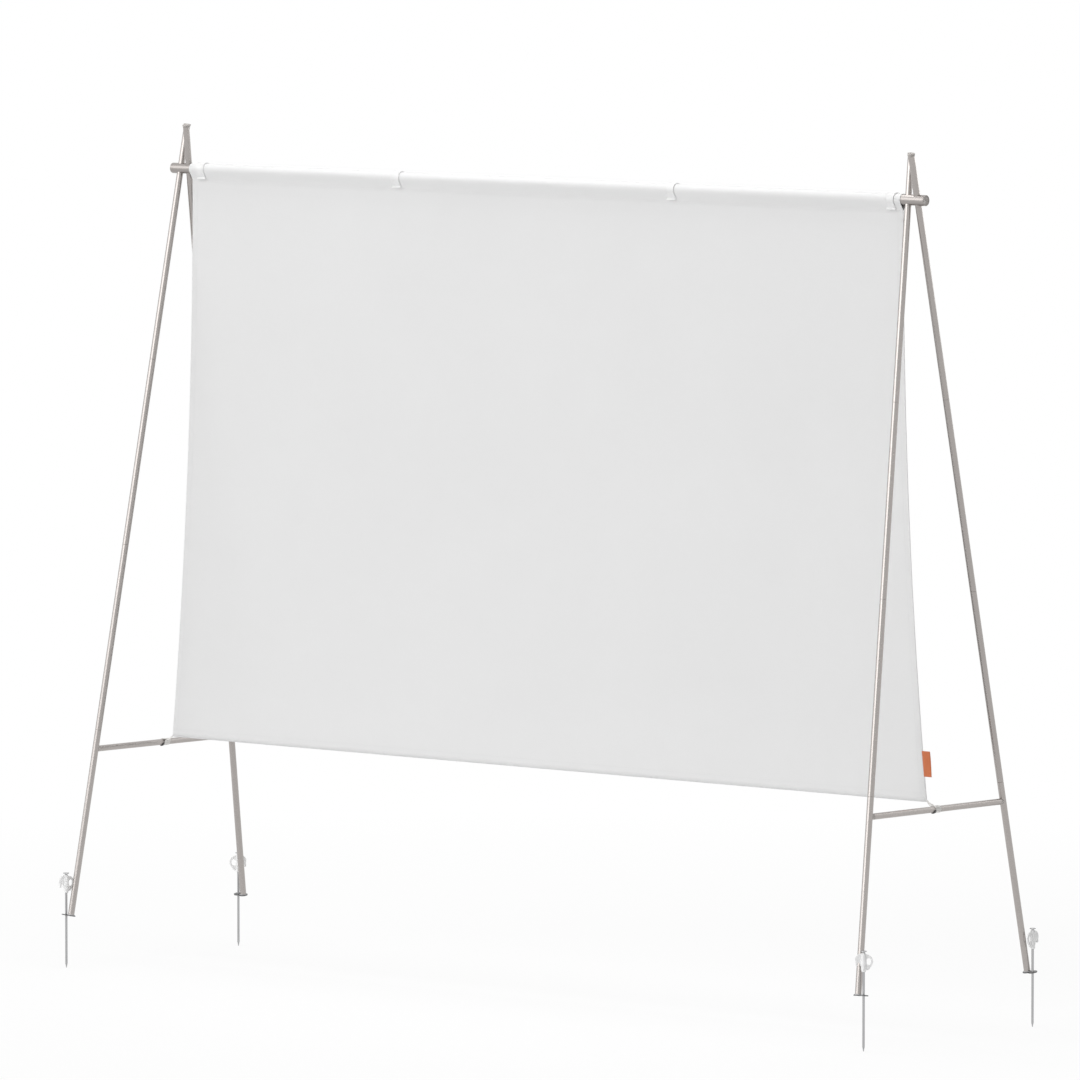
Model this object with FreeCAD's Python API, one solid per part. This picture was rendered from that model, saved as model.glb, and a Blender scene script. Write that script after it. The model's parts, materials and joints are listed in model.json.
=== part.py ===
import FreeCAD, Part
import math
import os

# Free-standing outdoor projection screen: a top tube carried by two A-frames of plug-together poles,
# with a cloth that hangs from the tube and is tied to the frames' crossbars, and four ground pegs.
# Millimetres. The origin lies on the ground midway between the four feet, X runs along the top tube,
# the projected side faces -Y and Z is up.

# Stance of the two A-frames
foot_half_spread = 330.0
leg_splay = 105.0

# Leg poles
pole_r = 8.5
pole_wall = 1.2
leg_section_length = 500.0
leg_section_count = 4
section_chamfer = 0.5
spigot_length = 90.0
spigot_wall = 1.2
plug_clearance = 0.05

# Top tube
tube_r = 14.0
tube_wall = 1.5
tube_section_length = 510.0
tube_section_count = 5
tube_spigot_length = 110.0
tube_spigot_wall = 1.5
outer_pole_inset = 27.0
pole_pitch = 30.0
hole_clearance = 0.3
end_plug_depth = 14.0
end_plug_recess = 0.4

# Stubs that pin the legs into the tube
seat_gap = 2.0
stub_rise = 113.0
stub_spigot_length = 45.0
stub_wall = 2.4
cap_height = 7.0
cap_flare = 1.4
cap_rim_height = 2.0
cap_plug_length = 12.0

# Foot plates, set square to the legs
plate_thickness = 2.5
plate_lobe_r = 12.0
plate_neck_half_width = 8.5
peg_offset = 17.3
peg_hole_clearance = 0.4

# Crossbars
crossbar_r = 8.0
crossbar_wall = 1.2
crossbar_drop = 51.0
saddle_collar = 4.5
saddle_gap = 0.15
saddle_plug_length = 22.0
stud_r = 4.0
stud_reach = 6.0
stud_clearance = 0.1

# Screen cloth
cloth_thickness = 0.8
cloth_clearance = 0.3
cloth_top_half_width = 1204.0
cloth_corner_flare = 79.0
cloth_shift = -2.0
cloth_drop = 1500.0
sleeve_drop = 28.0
sleeve_seam_height = 4.0
curl_width = 24.0
curl_depth = 3.0
curl_start_depth = 0.4
curl_reach = 740.0
cloth_station_count = 9

# Tie straps at the lower corners
strap_width = 20.0
strap_neck_width = 12.0
strap_thickness = 1.2
strap_clearance = 0.3
strap_apex_distance = 14.0
strap_y = {"left": 4.0, "right": -2.0}
strap_overlap = 1.0
keeper_width = 5.0
keeper_thickness = 2.6
keeper_half_angle = 60.0
keeper_turn = 25.0

# Folded side tag
tag_width = 22.0
tag_height = 65.0
tag_thickness = 0.8
tag_drop = 1371.0

# Spring clips on the sleeve
clip_width = 28.0
clip_thickness = 1.8
clip_clearance = 0.3
clip_leg_length = 15.7
clip_lip_length = 7.0
clip_lip_angle = 45.0
clip_bead_width = 3.5
clip_bead_rise = 0.5
end_clip_inset = 36.0
middle_clip_x = 466.0
middle_clip_shift = -16.5

# Ground pegs
nail_r = 3.2
nail_tip_r = 0.8
nail_tip_length = 12.0
nail_length = 255.0
nail_head_r = 8.0
nail_head_thickness = 2.4
nail_head_top = 113.0
peg_clearance = 0.08
head_gap = 3.0

# Plastic peg head: a tapered core with an eye on one side and a hook on the other
head_height = 48.0
core_foot_r = 5.6
core_belly_r = 7.6
core_shoulder_r = 6.6
core_neck_r = 5.0
core_foot_height = 2.0
core_belly_height = 20.0
core_shoulder_height = 43.0
flange_thickness = 4.6
eye_lobe_r = 17.5
eye_lobe_s = 6.0
eye_lobe_z = 27.0
eye_corner_s = 13.0
eye_corner_z = 5.5
eye_side_s = 20.5
eye_side_z = 16.5
eye_slot_s = 12.6
eye_slot_z = 26.0
eye_slot_half_width = 5.6
eye_slot_straight = 6.0
hook_lobe_r = 15.5
hook_lobe_s = 6.3
hook_lobe_z = 31.0
hook_prong_s = 18.2
hook_prong_half_width = 2.7
hook_prong_z = 16.8
hook_slot_s = 12.3
hook_slot_half_width = 3.2
hook_slot_top_z = 24.0

# Plan angle of each head's eye, and where each leg stands: which end, which side, outer or inner hole
eye_angles = {"left_front": 73.0, "left_rear": 220.0, "right_front": 40.0, "right_rear": 270.0}
legs = {
    "left_front": (-1, -1, True),
    "left_rear": (-1, 1, False),
    "right_front": (1, -1, False),
    "right_rear": (1, 1, True),
}
overrun = 5.0

# Worked-out sizes
pole_bore_r = pole_r - pole_wall
spigot_r = pole_bore_r - plug_clearance
tube_bore_r = tube_r - tube_wall
tube_half_length = tube_section_length * tube_section_count / 2
shoulder = tube_r + seat_gap
leg_length = shoulder + leg_section_length * leg_section_count
leg_rise = math.sqrt(leg_length ** 2 - foot_half_spread ** 2 - leg_splay ** 2)
tube_z = leg_rise
sleeve_r = tube_r + cloth_clearance + cloth_thickness
sleeve_bottom_z = tube_z - sleeve_drop
cloth_bottom_z = sleeve_bottom_z - cloth_drop
end_clip_x = cloth_top_half_width - end_clip_inset

X = FreeCAD.Vector(1, 0, 0)
Y = FreeCAD.Vector(0, 1, 0)
Z = FreeCAD.Vector(0, 0, 1)
ORIGIN = FreeCAD.Vector(0, 0, 0)


def point(x, y, z):
    return FreeCAD.Vector(x, y, z)


def along(base, direction, distance):
    return base + FreeCAD.Vector(direction).multiply(distance)


def placed(shape, base, direction):
    """Stand a shape that was drawn along Z on a base point, along a direction."""
    shape.Placement = FreeCAD.Placement(base, FreeCAD.Rotation(Z, direction))
    return shape


def turned(profile, base=ORIGIN, direction=Z):
    """Turn a closed outline of (radius, height) pairs about its axis."""
    corners = [point(r, 0, h) for r, h in profile]
    face = Part.Face(Part.makePolygon(corners + [corners[0]]))
    return placed(face.revolve(ORIGIN, Z, 360), base, direction)


def rod(radius, base, direction, length):
    return Part.makeCylinder(radius, length, base, direction)


def pipe(outer_r, inner_r, length, base, direction, chamfer=0.0):
    """A straight tube, with both outer edges broken by the chamfer."""
    if chamfer > 0:
        profile = [(inner_r, 0), (outer_r - chamfer, 0), (outer_r, chamfer), (outer_r, length - chamfer),
                   (outer_r - chamfer, length), (inner_r, length)]
    else:
        profile = [(inner_r, 0), (outer_r, 0), (outer_r, length), (inner_r, length)]
    return turned(profile, base, direction)


def block(low, high):
    size = high - low
    return Part.makeBox(size.x, size.y, size.z, low)


def save(name, *solids):
    shape = solids[0] if len(solids) == 1 else Part.makeCompound(list(solids))
    if not shape.isValid() or any(s.Volume <= 0 for s in shape.Solids):
        raise RuntimeError(name + " is not a valid solid")
    shape.exportStep("parts/" + name + ".step")
    print(name, len(shape.Solids), round(shape.Volume, 1))


# Places on the A-frames

def leg_top(name):
    """Where a leg's axis meets the tube's axis."""
    end, side, outer = legs[name]
    inset = outer_pole_inset if outer else outer_pole_inset + pole_pitch
    return point(end * (tube_half_length - inset), 0, tube_z)


def leg_foot(name):
    end, side, outer = legs[name]
    return point(leg_top(name).x + end * leg_splay, side * foot_half_spread, 0)


def leg_down(name):
    return (leg_foot(name) - leg_top(name)).normalize()


def on_leg(name, distance):
    return along(leg_top(name), leg_down(name), distance)


def peg_place(name):
    """The point on the ground where a peg's axis passes through its foot plate."""
    end = legs[name][0]
    return point(leg_foot(name).x + end * peg_offset, leg_foot(name).y, 0)


# Distance down a leg from the tube's axis to the crossbar's axis
crossbar_distance = shoulder + leg_section_length * (leg_section_count - 1) + crossbar_drop


def crossbar_ends(side_name):
    return on_leg(side_name + "_front", crossbar_distance), on_leg(side_name + "_rear", crossbar_distance)


def crossbar_direction(side_name):
    front, rear = crossbar_ends(side_name)
    return (rear - front).normalize()


# Leg poles, their joining spigots, stubs and caps

def leg_section(name, index):
    base = on_leg(name, shoulder + leg_section_length * index)
    down = leg_down(name)
    if index < leg_section_count - 1:
        return pipe(pole_r, pole_bore_r, leg_section_length, base, down, section_chamfer)
    profile = [(pole_bore_r, 0), (pole_r - section_chamfer, 0), (pole_r, section_chamfer),
               (pole_r, leg_section_length), (pole_bore_r, leg_section_length)]
    section = turned(profile, base, down)
    towards = crossbar_direction(name.split("_")[0])
    if name.endswith("rear"):
        towards = towards.negative()
    centre = on_leg(name, crossbar_distance)
    stud_hole = rod(stud_r + stud_clearance, centre, towards, pole_r + overrun)
    return section.cut(stud_hole)


def leg_spigots(name):
    """Short inner tubes, one in each joint between two sections."""
    spigots = []
    for joint in range(1, leg_section_count):
        base = on_leg(name, shoulder + leg_section_length * joint - spigot_length / 2)
        spigots.append(pipe(spigot_r, spigot_r - spigot_wall, spigot_length, base, leg_down(name), section_chamfer))
    return spigots


def stub(name):
    """The pole above the tube: it passes through the tube and plugs into the first section."""
    up = leg_down(name).negative()
    base = on_leg(name, shoulder + stub_spigot_length)
    bore = spigot_r - stub_wall
    shoulder_height = stub_spigot_length
    top = stub_spigot_length + shoulder + stub_rise
    profile = [(bore, 0), (spigot_r - section_chamfer, 0), (spigot_r, section_chamfer), (spigot_r, shoulder_height),
               (pole_r, shoulder_height), (pole_r, top), (bore, top)]
    return turned(profile, base, up)


def stub_cap(name):
    up = leg_down(name).negative()
    base = on_leg(name, -stub_rise)
    plug_r = spigot_r - stub_wall - plug_clearance
    rim = pole_r + cap_flare
    profile = [(0, -cap_plug_length), (plug_r, -cap_plug_length), (plug_r, 0), (pole_r, 0),
               (rim, cap_height - cap_rim_height), (rim, cap_height - section_chamfer),
               (rim - section_chamfer, cap_height), (0, cap_height)]
    return turned(profile, base, up)


# Top tube

def tube_section(index):
    start = point(-tube_half_length + tube_section_length * index, 0, tube_z)
    section = pipe(tube_r, tube_bore_r, tube_section_length, start, X, section_chamfer)
    for name in legs:
        top = leg_top(name)
        if start.x < top.x < start.x + tube_section_length:
            down = leg_down(name)
            reach = tube_r + overrun
            hole = rod(pole_r + hole_clearance, along(top, down, -reach), down, reach * 2)
            section = section.cut(hole)
    return section


def tube_spigots():
    spigots = []
    outer = tube_bore_r - plug_clearance
    for joint in range(1, tube_section_count):
        x = -tube_half_length + tube_section_length * joint - tube_spigot_length / 2
        spigots.append(pipe(outer, outer - tube_spigot_wall, tube_spigot_length, point(x, 0, tube_z), X,
                            section_chamfer))
    return spigots


def tube_plugs():
    """Plugs that close the tube's two ends."""
    plugs = []
    radius = tube_bore_r - plug_clearance
    profile = [(0, 0), (radius - section_chamfer, 0), (radius, section_chamfer), (radius, end_plug_depth),
               (0, end_plug_depth)]
    for end in (-1, 1):
        base = point(end * (tube_half_length - end_plug_recess), 0, tube_z)
        plugs.append(turned(profile, base, X * -end))
    return plugs


# Feet

def foot_plate(name):
    """A plate square to the leg, with one lobe under the pole and one round the upright peg."""
    foot = leg_foot(name)
    end = legs[name][0]
    down = leg_down(name)
    outward = X * end - FreeCAD.Vector(down).multiply((X * end).dot(down))
    outward.normalize()
    lobe_pitch = peg_offset / outward.dot(X * end)
    plate = Part.makeCylinder(plate_lobe_r, plate_thickness)
    plate = plate.fuse(Part.makeCylinder(plate_lobe_r, plate_thickness, point(lobe_pitch, 0, 0)))
    plate = plate.fuse(block(point(0, -plate_neck_half_width, 0),
                             point(lobe_pitch, plate_neck_half_width, plate_thickness))).removeSplitter()
    across = down.cross(outward)
    plate.Placement = FreeCAD.Placement(foot, FreeCAD.Rotation(outward, across, down, "ZXY"))
    reach = plate_lobe_r + overrun
    return plate.cut(rod(nail_r + peg_hole_clearance, along(peg_place(name), Z, -reach), Z, reach * 2))


# Crossbars

def crossbar(side_name):
    front, rear = crossbar_ends(side_name)
    direction = crossbar_direction(side_name)
    inset = pole_r + saddle_gap + saddle_collar
    length = (rear - front).Length - inset * 2
    return pipe(crossbar_r, crossbar_r - crossbar_wall, length, along(front, direction, inset), direction)


def saddle(name):
    """A crossbar's end piece: a collar shaped to the leg, a plug in the bar and a stud in the leg."""
    side_name = name.split("_")[0]
    outward = crossbar_direction(side_name)
    if name.endswith("front"):
        outward = outward.negative()
    centre = on_leg(name, crossbar_distance)
    inset = pole_r + saddle_gap + saddle_collar
    face = along(centre, outward, -inset)
    collar = rod(crossbar_r, face, outward, inset)
    leg_core = rod(pole_r + saddle_gap, on_leg(name, crossbar_distance - crossbar_r - overrun), leg_down(name),
                   (crossbar_r + overrun) * 2)
    plug = rod(crossbar_r - crossbar_wall - plug_clearance, along(face, outward, -saddle_plug_length), outward,
               saddle_plug_length + saddle_collar / 2)
    stud = rod(stud_r, face, outward, inset - pole_r + stud_reach)
    return collar.cut(leg_core).fuse(plug).fuse(stud).removeSplitter()


# Cloth, straps and tag

def teardrop(ring_r, apex_distance):
    """A closed outline round a bar: an arc over it and two tangents that meet at a point below it."""
    tangent = math.asin(ring_r / apex_distance)
    side_y = ring_r * math.cos(tangent)
    side_z = -ring_r * math.sin(tangent)
    right = point(0, side_y, side_z)
    left = point(0, -side_y, side_z)
    top = point(0, 0, ring_r)
    apex = point(0, 0, -apex_distance)
    quarter_y = ring_r * math.cos((math.pi / 2 - tangent) / 2)
    quarter_z = ring_r * math.sin((math.pi / 2 - tangent) / 2)
    arc_right = Part.Arc(right, point(0, quarter_y, quarter_z), top).toShape()
    arc_left = Part.Arc(top, point(0, -quarter_y, quarter_z), left).toShape()
    down = Part.LineSegment(left, apex).toShape()
    up = Part.LineSegment(apex, right).toShape()
    return Part.Wire([arc_right, arc_left, down, up])


def loop_band(bar_r, clearance, thickness, apex_distance, width):
    """A flat band looped round a bar that lies along X, from x = 0, with its apex straight below."""
    inner_r = bar_r + clearance
    outer_r = inner_r + thickness
    inner_apex = apex_distance * inner_r / outer_r
    outer = Part.Face(teardrop(outer_r, apex_distance)).extrude(X * width)
    inner = Part.Face(teardrop(inner_r, inner_apex)).extrude(X * (width + overrun * 2))
    inner.translate(X * -overrun)
    return outer.cut(inner)


def cloth_share(z):
    """How far down the panel a height lies, from 0 at the seam to 1 at the hem."""
    return (sleeve_bottom_z - z) / cloth_drop


def cloth_half_width(z):
    return cloth_top_half_width + cloth_corner_flare * cloth_share(z) ** 2


def cloth_curl(z):
    """How far the side edges bend back at a height."""
    down = max(0.0, (cloth_bottom_z + curl_reach - z) / curl_reach)
    return curl_start_depth + (curl_depth - curl_start_depth) * down ** 2


def curled_edge(half_width, depth, offset, z, sign):
    """One bent side of the panel's cut across: its arc from the flat part to the edge."""
    radius = (curl_width ** 2 + depth ** 2) / (2 * depth)
    turn = math.asin(curl_width / radius)
    flat_half = half_width - curl_width
    start = point(cloth_shift + sign * flat_half, offset, z)
    reach = radius - offset
    middle = point(cloth_shift + sign * (flat_half + reach * math.sin(turn / 2)),
                   radius - reach * math.cos(turn / 2), z)
    tip = point(cloth_shift + sign * (flat_half + reach * math.sin(turn)), radius - reach * math.cos(turn), z)
    return start, middle, tip


def cloth_section(z):
    """The panel cut across at one height: a flat middle with both side edges bent back."""
    half_width = cloth_half_width(z)
    depth = cloth_curl(z)
    half = cloth_thickness / 2
    front_left, front_left_mid, front_left_tip = curled_edge(half_width, depth, -half, z, -1)
    front_right, front_right_mid, front_right_tip = curled_edge(half_width, depth, -half, z, 1)
    back_left, back_left_mid, back_left_tip = curled_edge(half_width, depth, half, z, -1)
    back_right, back_right_mid, back_right_tip = curled_edge(half_width, depth, half, z, 1)
    edges = [
        Part.Arc(front_left_tip, front_left_mid, front_left),
        Part.LineSegment(front_left, front_right),
        Part.Arc(front_right, front_right_mid, front_right_tip),
        Part.LineSegment(front_right_tip, back_right_tip),
        Part.Arc(back_right_tip, back_right_mid, back_right),
        Part.LineSegment(back_right, back_left),
        Part.Arc(back_left, back_left_mid, back_left_tip),
        Part.LineSegment(back_left_tip, front_left_tip),
    ]
    return Part.Wire([edge.toShape() for edge in edges])


def screen_cloth():
    top_z = sleeve_bottom_z + sleeve_seam_height / 2
    heights = [top_z + (cloth_bottom_z - top_z) * i / (cloth_station_count - 1) for i in range(cloth_station_count)]
    panel = Part.makeLoft([cloth_section(z) for z in heights], True, True)
    sleeve = loop_band(tube_r, cloth_clearance, cloth_thickness, sleeve_drop, cloth_top_half_width * 2)
    sleeve.translate(point(cloth_shift - cloth_top_half_width, 0, tube_z))
    return panel.fuse(sleeve).removeSplitter()


def strap_centre(side_name):
    """The point on a crossbar's axis that the strap is looped round."""
    front, rear = crossbar_ends(side_name)
    share = (strap_y[side_name] - front.y) / (rear.y - front.y)
    return front + (rear - front) * share


def corner_point(end):
    """The tip of a lower corner of the cloth."""
    z = cloth_bottom_z
    start, middle, tip = curled_edge(cloth_half_width(z), cloth_curl(z), 0, z, end)
    return tip


def tie_strap(side_name):
    """Webbing from a corner of the cloth, looped round the crossbar."""
    end = -1 if side_name == "left" else 1
    centre = strap_centre(side_name)
    corner = corner_point(end)
    attach = point(corner.x + end * strap_clearance, centre.y, corner.z + strap_width / 4)
    inward = attach - point(centre.x, centre.y, centre.z)
    reach = inward.Length
    inward.normalize()
    band = loop_band(crossbar_r, strap_clearance, strap_thickness, strap_apex_distance, strap_width)
    tongue_low = (strap_width - strap_neck_width) / 2
    tongue = block(point(tongue_low, -strap_thickness / 2, -reach),
                   point(tongue_low + strap_neck_width, strap_thickness / 2,
                         -strap_apex_distance + strap_thickness + strap_overlap))
    strap = band.fuse(tongue)
    strap.translate(X * (-strap_width / 2))
    bar = crossbar_direction(side_name)
    across = inward.negative()
    third = across.cross(bar)
    across = bar.cross(third)
    strap.Placement = FreeCAD.Placement(centre, FreeCAD.Rotation(bar, third.negative(), across, "XZY"))
    return strap


def strap_keeper(side_name):
    """The strap's dark end piece, wrapped under the crossbar beside the loop."""
    bar = crossbar_direction(side_name)
    centre = strap_centre(side_name)
    base = along(centre, bar, -strap_width / 2 - strap_clearance - keeper_width)
    inner = crossbar_r + strap_clearance
    ring = pipe(inner + keeper_thickness, inner, keeper_width, base, bar)
    size = inner + keeper_thickness + overrun
    low = inner * math.cos(math.radians(keeper_half_angle))
    above = block(centre - point(size, size + strap_width, low), centre + point(size, size + strap_width, size))
    above.rotate(centre, Y, -keeper_turn)
    return ring.cut(above)


def side_tag():
    """A folded label sewn into the cloth's right edge."""
    top_z = sleeve_bottom_z - tag_drop
    bottom_z = top_z - tag_height
    corners = []
    for z, out in ((top_z, 0), (top_z, tag_width), (bottom_z, tag_width), (bottom_z, 0)):
        start, middle, tip = curled_edge(cloth_half_width(z), cloth_curl(z), 0, z, 1)
        corners.append(point(tip.x + cloth_clearance + out, tip.y, z))
    front_y = min(c.y for c in corners) - tag_thickness / 2
    flat = [point(c.x, front_y, c.z) for c in corners]
    return Part.Face(Part.makePolygon(flat + [flat[0]])).extrude(Y * tag_thickness)


# Clips

def clip(x):
    """A spring clip over the sleeve: a C with straight legs and flared lips."""
    inner_r = sleeve_r + clip_clearance
    outer_r = inner_r + clip_thickness
    slope = math.asin(sleeve_r / sleeve_drop)
    flare = math.radians(clip_lip_angle)
    leg_normal = (math.cos(slope), -math.sin(slope))
    lip_normal = (math.cos(flare), math.sin(flare))
    leg_run = (-math.sin(slope), -math.cos(slope))
    lip_run = (math.sin(flare), -math.cos(flare))
    meet = 1 + leg_normal[0] * lip_normal[0] + leg_normal[1] * lip_normal[1]
    start = [inner_r * n for n in leg_normal]
    knee = [start[k] + clip_leg_length * leg_run[k] for k in (0, 1)]
    lip_end = [knee[k] + clip_lip_length * lip_run[k] for k in (0, 1)]
    lip_outer = [lip_end[k] + clip_thickness * lip_normal[k] for k in (0, 1)]
    knee_outer = [knee[k] + clip_thickness * (leg_normal[k] + lip_normal[k]) / meet for k in (0, 1)]
    start_outer = [outer_r * n for n in leg_normal]
    side = [start, knee, lip_end, lip_outer, knee_outer, start_outer]
    rear = [point(0, y, z) for y, z in side]
    front = [point(0, -y, z) for y, z in side]

    def arc(radius, begin, end_point, sign):
        angle = (math.pi / 2 - slope) / 2
        middle = point(0, sign * radius * math.cos(angle), radius * math.sin(angle))
        return Part.Arc(begin, middle, end_point).toShape()

    top_inner = point(0, 0, inner_r)
    top_outer = point(0, 0, outer_r)
    edges = [arc(inner_r, top_inner, rear[0], 1)]
    edges += [Part.LineSegment(rear[k], rear[k + 1]).toShape() for k in range(len(rear) - 1)]
    edges += [arc(outer_r, rear[-1], top_outer, 1), arc(outer_r, top_outer, front[-1], -1)]
    edges += [Part.LineSegment(front[k], front[k - 1]).toShape() for k in range(len(front) - 1, 0, -1)]
    edges += [arc(inner_r, front[0], top_inner, -1)]
    body = Part.Face(Part.Wire(edges)).extrude(X * clip_width)
    bead_r = outer_r + clip_bead_rise
    middle_r = (inner_r + outer_r) / 2
    below = block(point(-overrun, -bead_r - overrun, -bead_r - overrun),
                  point(clip_width + overrun, bead_r + overrun, start[1]))
    for bead_x in (0, clip_width - clip_bead_width):
        bead = pipe(bead_r, middle_r, clip_bead_width, point(bead_x, 0, 0), X).cut(below)
        body = body.fuse(bead)
    body = body.removeSplitter()
    body.translate(point(x - clip_width / 2, 0, tube_z))
    return body


# Pegs

def peg_nail(name):
    low = nail_head_top - nail_length
    under_head = nail_head_top - nail_head_thickness
    profile = [(0, low), (nail_tip_r, low), (nail_r, low + nail_tip_length), (nail_r, under_head),
               (nail_head_r - section_chamfer, under_head), (nail_head_r, under_head + section_chamfer),
               (nail_head_r, nail_head_top - section_chamfer), (nail_head_r - section_chamfer, nail_head_top),
               (0, nail_head_top)]
    return turned(profile, peg_place(name))


def across_disc(radius, s, z):
    """A disc of the head's flange, with its axis along local Y."""
    return Part.makeCylinder(radius, flange_thickness, point(s, -flange_thickness / 2, z), Y)


def flange_block(low_s, low_z, high_s, high_z):
    return block(point(low_s, -flange_thickness, low_z), point(high_s, flange_thickness, high_z))


def peg_head(name):
    """Eye towards local +X, hook towards local -X, foot of the core at local z = 0."""
    corners = [point(0, 0, core_foot_height), point(eye_corner_s, 0, eye_corner_z),
               point(eye_side_s, 0, eye_side_z), point(0, 0, eye_lobe_z)]
    gusset = Part.Face(Part.makePolygon(corners + [corners[0]])).extrude(Y * flange_thickness)
    gusset.translate(Y * (-flange_thickness / 2))
    slot_low = eye_slot_z - eye_slot_straight / 2
    slot_high = eye_slot_z + eye_slot_straight / 2
    eye_slot = flange_block(eye_slot_s - eye_slot_half_width, slot_low, eye_slot_s + eye_slot_half_width, slot_high)
    for z in (slot_low, slot_high):
        eye_slot = eye_slot.fuse(Part.makeCylinder(eye_slot_half_width, flange_thickness * 2,
                                                   point(eye_slot_s, -flange_thickness, z), Y))
    hook_slot = flange_block(-hook_slot_s - hook_slot_half_width, 0, -hook_slot_s + hook_slot_half_width,
                             hook_slot_top_z - hook_slot_half_width)
    hook_slot = hook_slot.fuse(Part.makeCylinder(hook_slot_half_width, flange_thickness * 2,
                               point(-hook_slot_s, -flange_thickness, hook_slot_top_z - hook_slot_half_width), Y))
    prong = block(point(-hook_prong_s - hook_prong_half_width, -flange_thickness / 2, hook_prong_z),
                  point(-hook_prong_s + hook_prong_half_width, flange_thickness / 2, hook_lobe_z))
    prong = prong.fuse(across_disc(hook_prong_half_width, -hook_prong_s, hook_prong_z))
    flange = across_disc(eye_lobe_r, eye_lobe_s, eye_lobe_z).fuse(across_disc(hook_lobe_r, -hook_lobe_s, hook_lobe_z))
    flange = flange.fuse(gusset).fuse(prong).cut(eye_slot).cut(hook_slot)
    core = turned([(0, 0), (core_foot_r, 0), (core_foot_r, core_foot_height), (core_belly_r, core_belly_height),
                   (core_shoulder_r, core_shoulder_height), (core_neck_r, head_height), (0, head_height)])
    head = core.fuse(flange).removeSplitter()
    head = head.cut(rod(nail_r + peg_clearance, point(0, 0, -overrun), Z, head_height + overrun * 2))
    top = nail_head_top - nail_head_thickness - head_gap
    head.Placement = FreeCAD.Placement(along(peg_place(name), Z, top - head_height),
                                       FreeCAD.Rotation(Z, eye_angles[name]))
    return head


os.makedirs("parts", exist_ok=True)

tube_names = ["top_tube_left", "top_tube_inner_left", "top_tube_centre", "top_tube_inner_right", "top_tube_right"]
for index, name in enumerate(tube_names):
    save(name, tube_section(index))
save("top_tube_spigots", *tube_spigots())
save("top_tube_plugs", *tube_plugs())

for name in legs:
    for index in range(leg_section_count):
        save(name + "_leg_" + str(index + 1), leg_section(name, index))
    save(name + "_stub", stub(name))
    save(name + "_stub_cap", stub_cap(name))
    save(name + "_foot_plate", foot_plate(name))
    save(name + "_peg_nail", peg_nail(name))
    save(name + "_peg_head", peg_head(name))

for side_name in ("left", "right"):
    save(side_name + "_leg_spigots", *(leg_spigots(side_name + "_front") + leg_spigots(side_name + "_rear")))
    save(side_name + "_crossbar", crossbar(side_name))
    save(side_name + "_tie_strap", tie_strap(side_name))
save("crossbar_front_saddles", saddle("left_front"), saddle("right_front"))
save("crossbar_rear_saddles", saddle("left_rear"), saddle("right_rear"))
save("strap_keepers", strap_keeper("left"), strap_keeper("right"))

save("screen_cloth", screen_cloth())
save("side_tag", side_tag())
save("clip_left", clip(-end_clip_x))
save("clip_inner_left", clip(middle_clip_shift - middle_clip_x))
save("clip_inner_right", clip(middle_clip_shift + middle_clip_x))
save("clip_right", clip(end_clip_x))
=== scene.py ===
"""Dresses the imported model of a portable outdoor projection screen.

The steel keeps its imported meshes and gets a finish. The cloth, the mouldings, the webbing and the welds
are built here. Lengths are in metres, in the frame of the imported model. The projected side faces -Y and
Z is up.
"""

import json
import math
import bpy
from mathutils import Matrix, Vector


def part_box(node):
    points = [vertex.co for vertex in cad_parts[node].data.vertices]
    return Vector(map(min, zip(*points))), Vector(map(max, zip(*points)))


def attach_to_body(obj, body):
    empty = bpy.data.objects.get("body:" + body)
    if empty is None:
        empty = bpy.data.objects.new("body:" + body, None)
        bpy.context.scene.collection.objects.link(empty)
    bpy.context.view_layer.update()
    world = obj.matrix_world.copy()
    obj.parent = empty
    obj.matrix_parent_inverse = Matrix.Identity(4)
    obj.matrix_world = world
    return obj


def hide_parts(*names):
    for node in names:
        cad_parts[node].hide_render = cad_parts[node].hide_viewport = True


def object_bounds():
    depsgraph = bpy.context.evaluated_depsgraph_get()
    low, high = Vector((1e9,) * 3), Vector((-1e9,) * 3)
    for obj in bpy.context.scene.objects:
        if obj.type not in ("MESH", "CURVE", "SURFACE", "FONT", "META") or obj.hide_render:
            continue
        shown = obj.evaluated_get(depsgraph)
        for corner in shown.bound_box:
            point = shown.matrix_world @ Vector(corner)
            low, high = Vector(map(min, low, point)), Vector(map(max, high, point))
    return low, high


bl_info = {
    "name": "Portable projection screen",
    "version": (1, 0, 0),
    "blender": (4, 5, 0),
    "location": "3D View > Sidebar > Screen",
    "description": "Builds the cloth, clips, straps, pegs and finishes of an outdoor projection screen",
    "category": "Object",
}

from functools import cache, partial

import bpy
from mathutils import Matrix, Vector, noise

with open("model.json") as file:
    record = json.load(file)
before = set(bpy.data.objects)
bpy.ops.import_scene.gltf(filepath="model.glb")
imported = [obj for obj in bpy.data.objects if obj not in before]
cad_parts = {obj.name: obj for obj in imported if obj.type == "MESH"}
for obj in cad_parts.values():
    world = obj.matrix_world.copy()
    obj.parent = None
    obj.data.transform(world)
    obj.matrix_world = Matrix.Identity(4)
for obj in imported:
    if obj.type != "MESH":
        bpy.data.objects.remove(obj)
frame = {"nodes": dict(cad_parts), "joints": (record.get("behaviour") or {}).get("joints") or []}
CAD_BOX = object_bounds()

X_AXIS, Y_AXIS, Z_AXIS = Vector((1, 0, 0)), Vector((0, 1, 0)), Vector((0, 0, 1))
MM = 0.001

ENDS = {"left": -1, "right": 1}
SIDES = ("front", "rear")
LEGS = [(end, side) for end in ENDS for side in SIDES]
CLIPS = ("clip_left", "clip_inner_left", "clip_inner_right", "clip_right")
TUBES = ("top_tube_left", "top_tube_inner_left", "top_tube_centre", "top_tube_inner_right",
         "top_tube_right")
POLE_R = 0.0085
BAR_R = 0.008
STRAP_GAP = 0.0003


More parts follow.
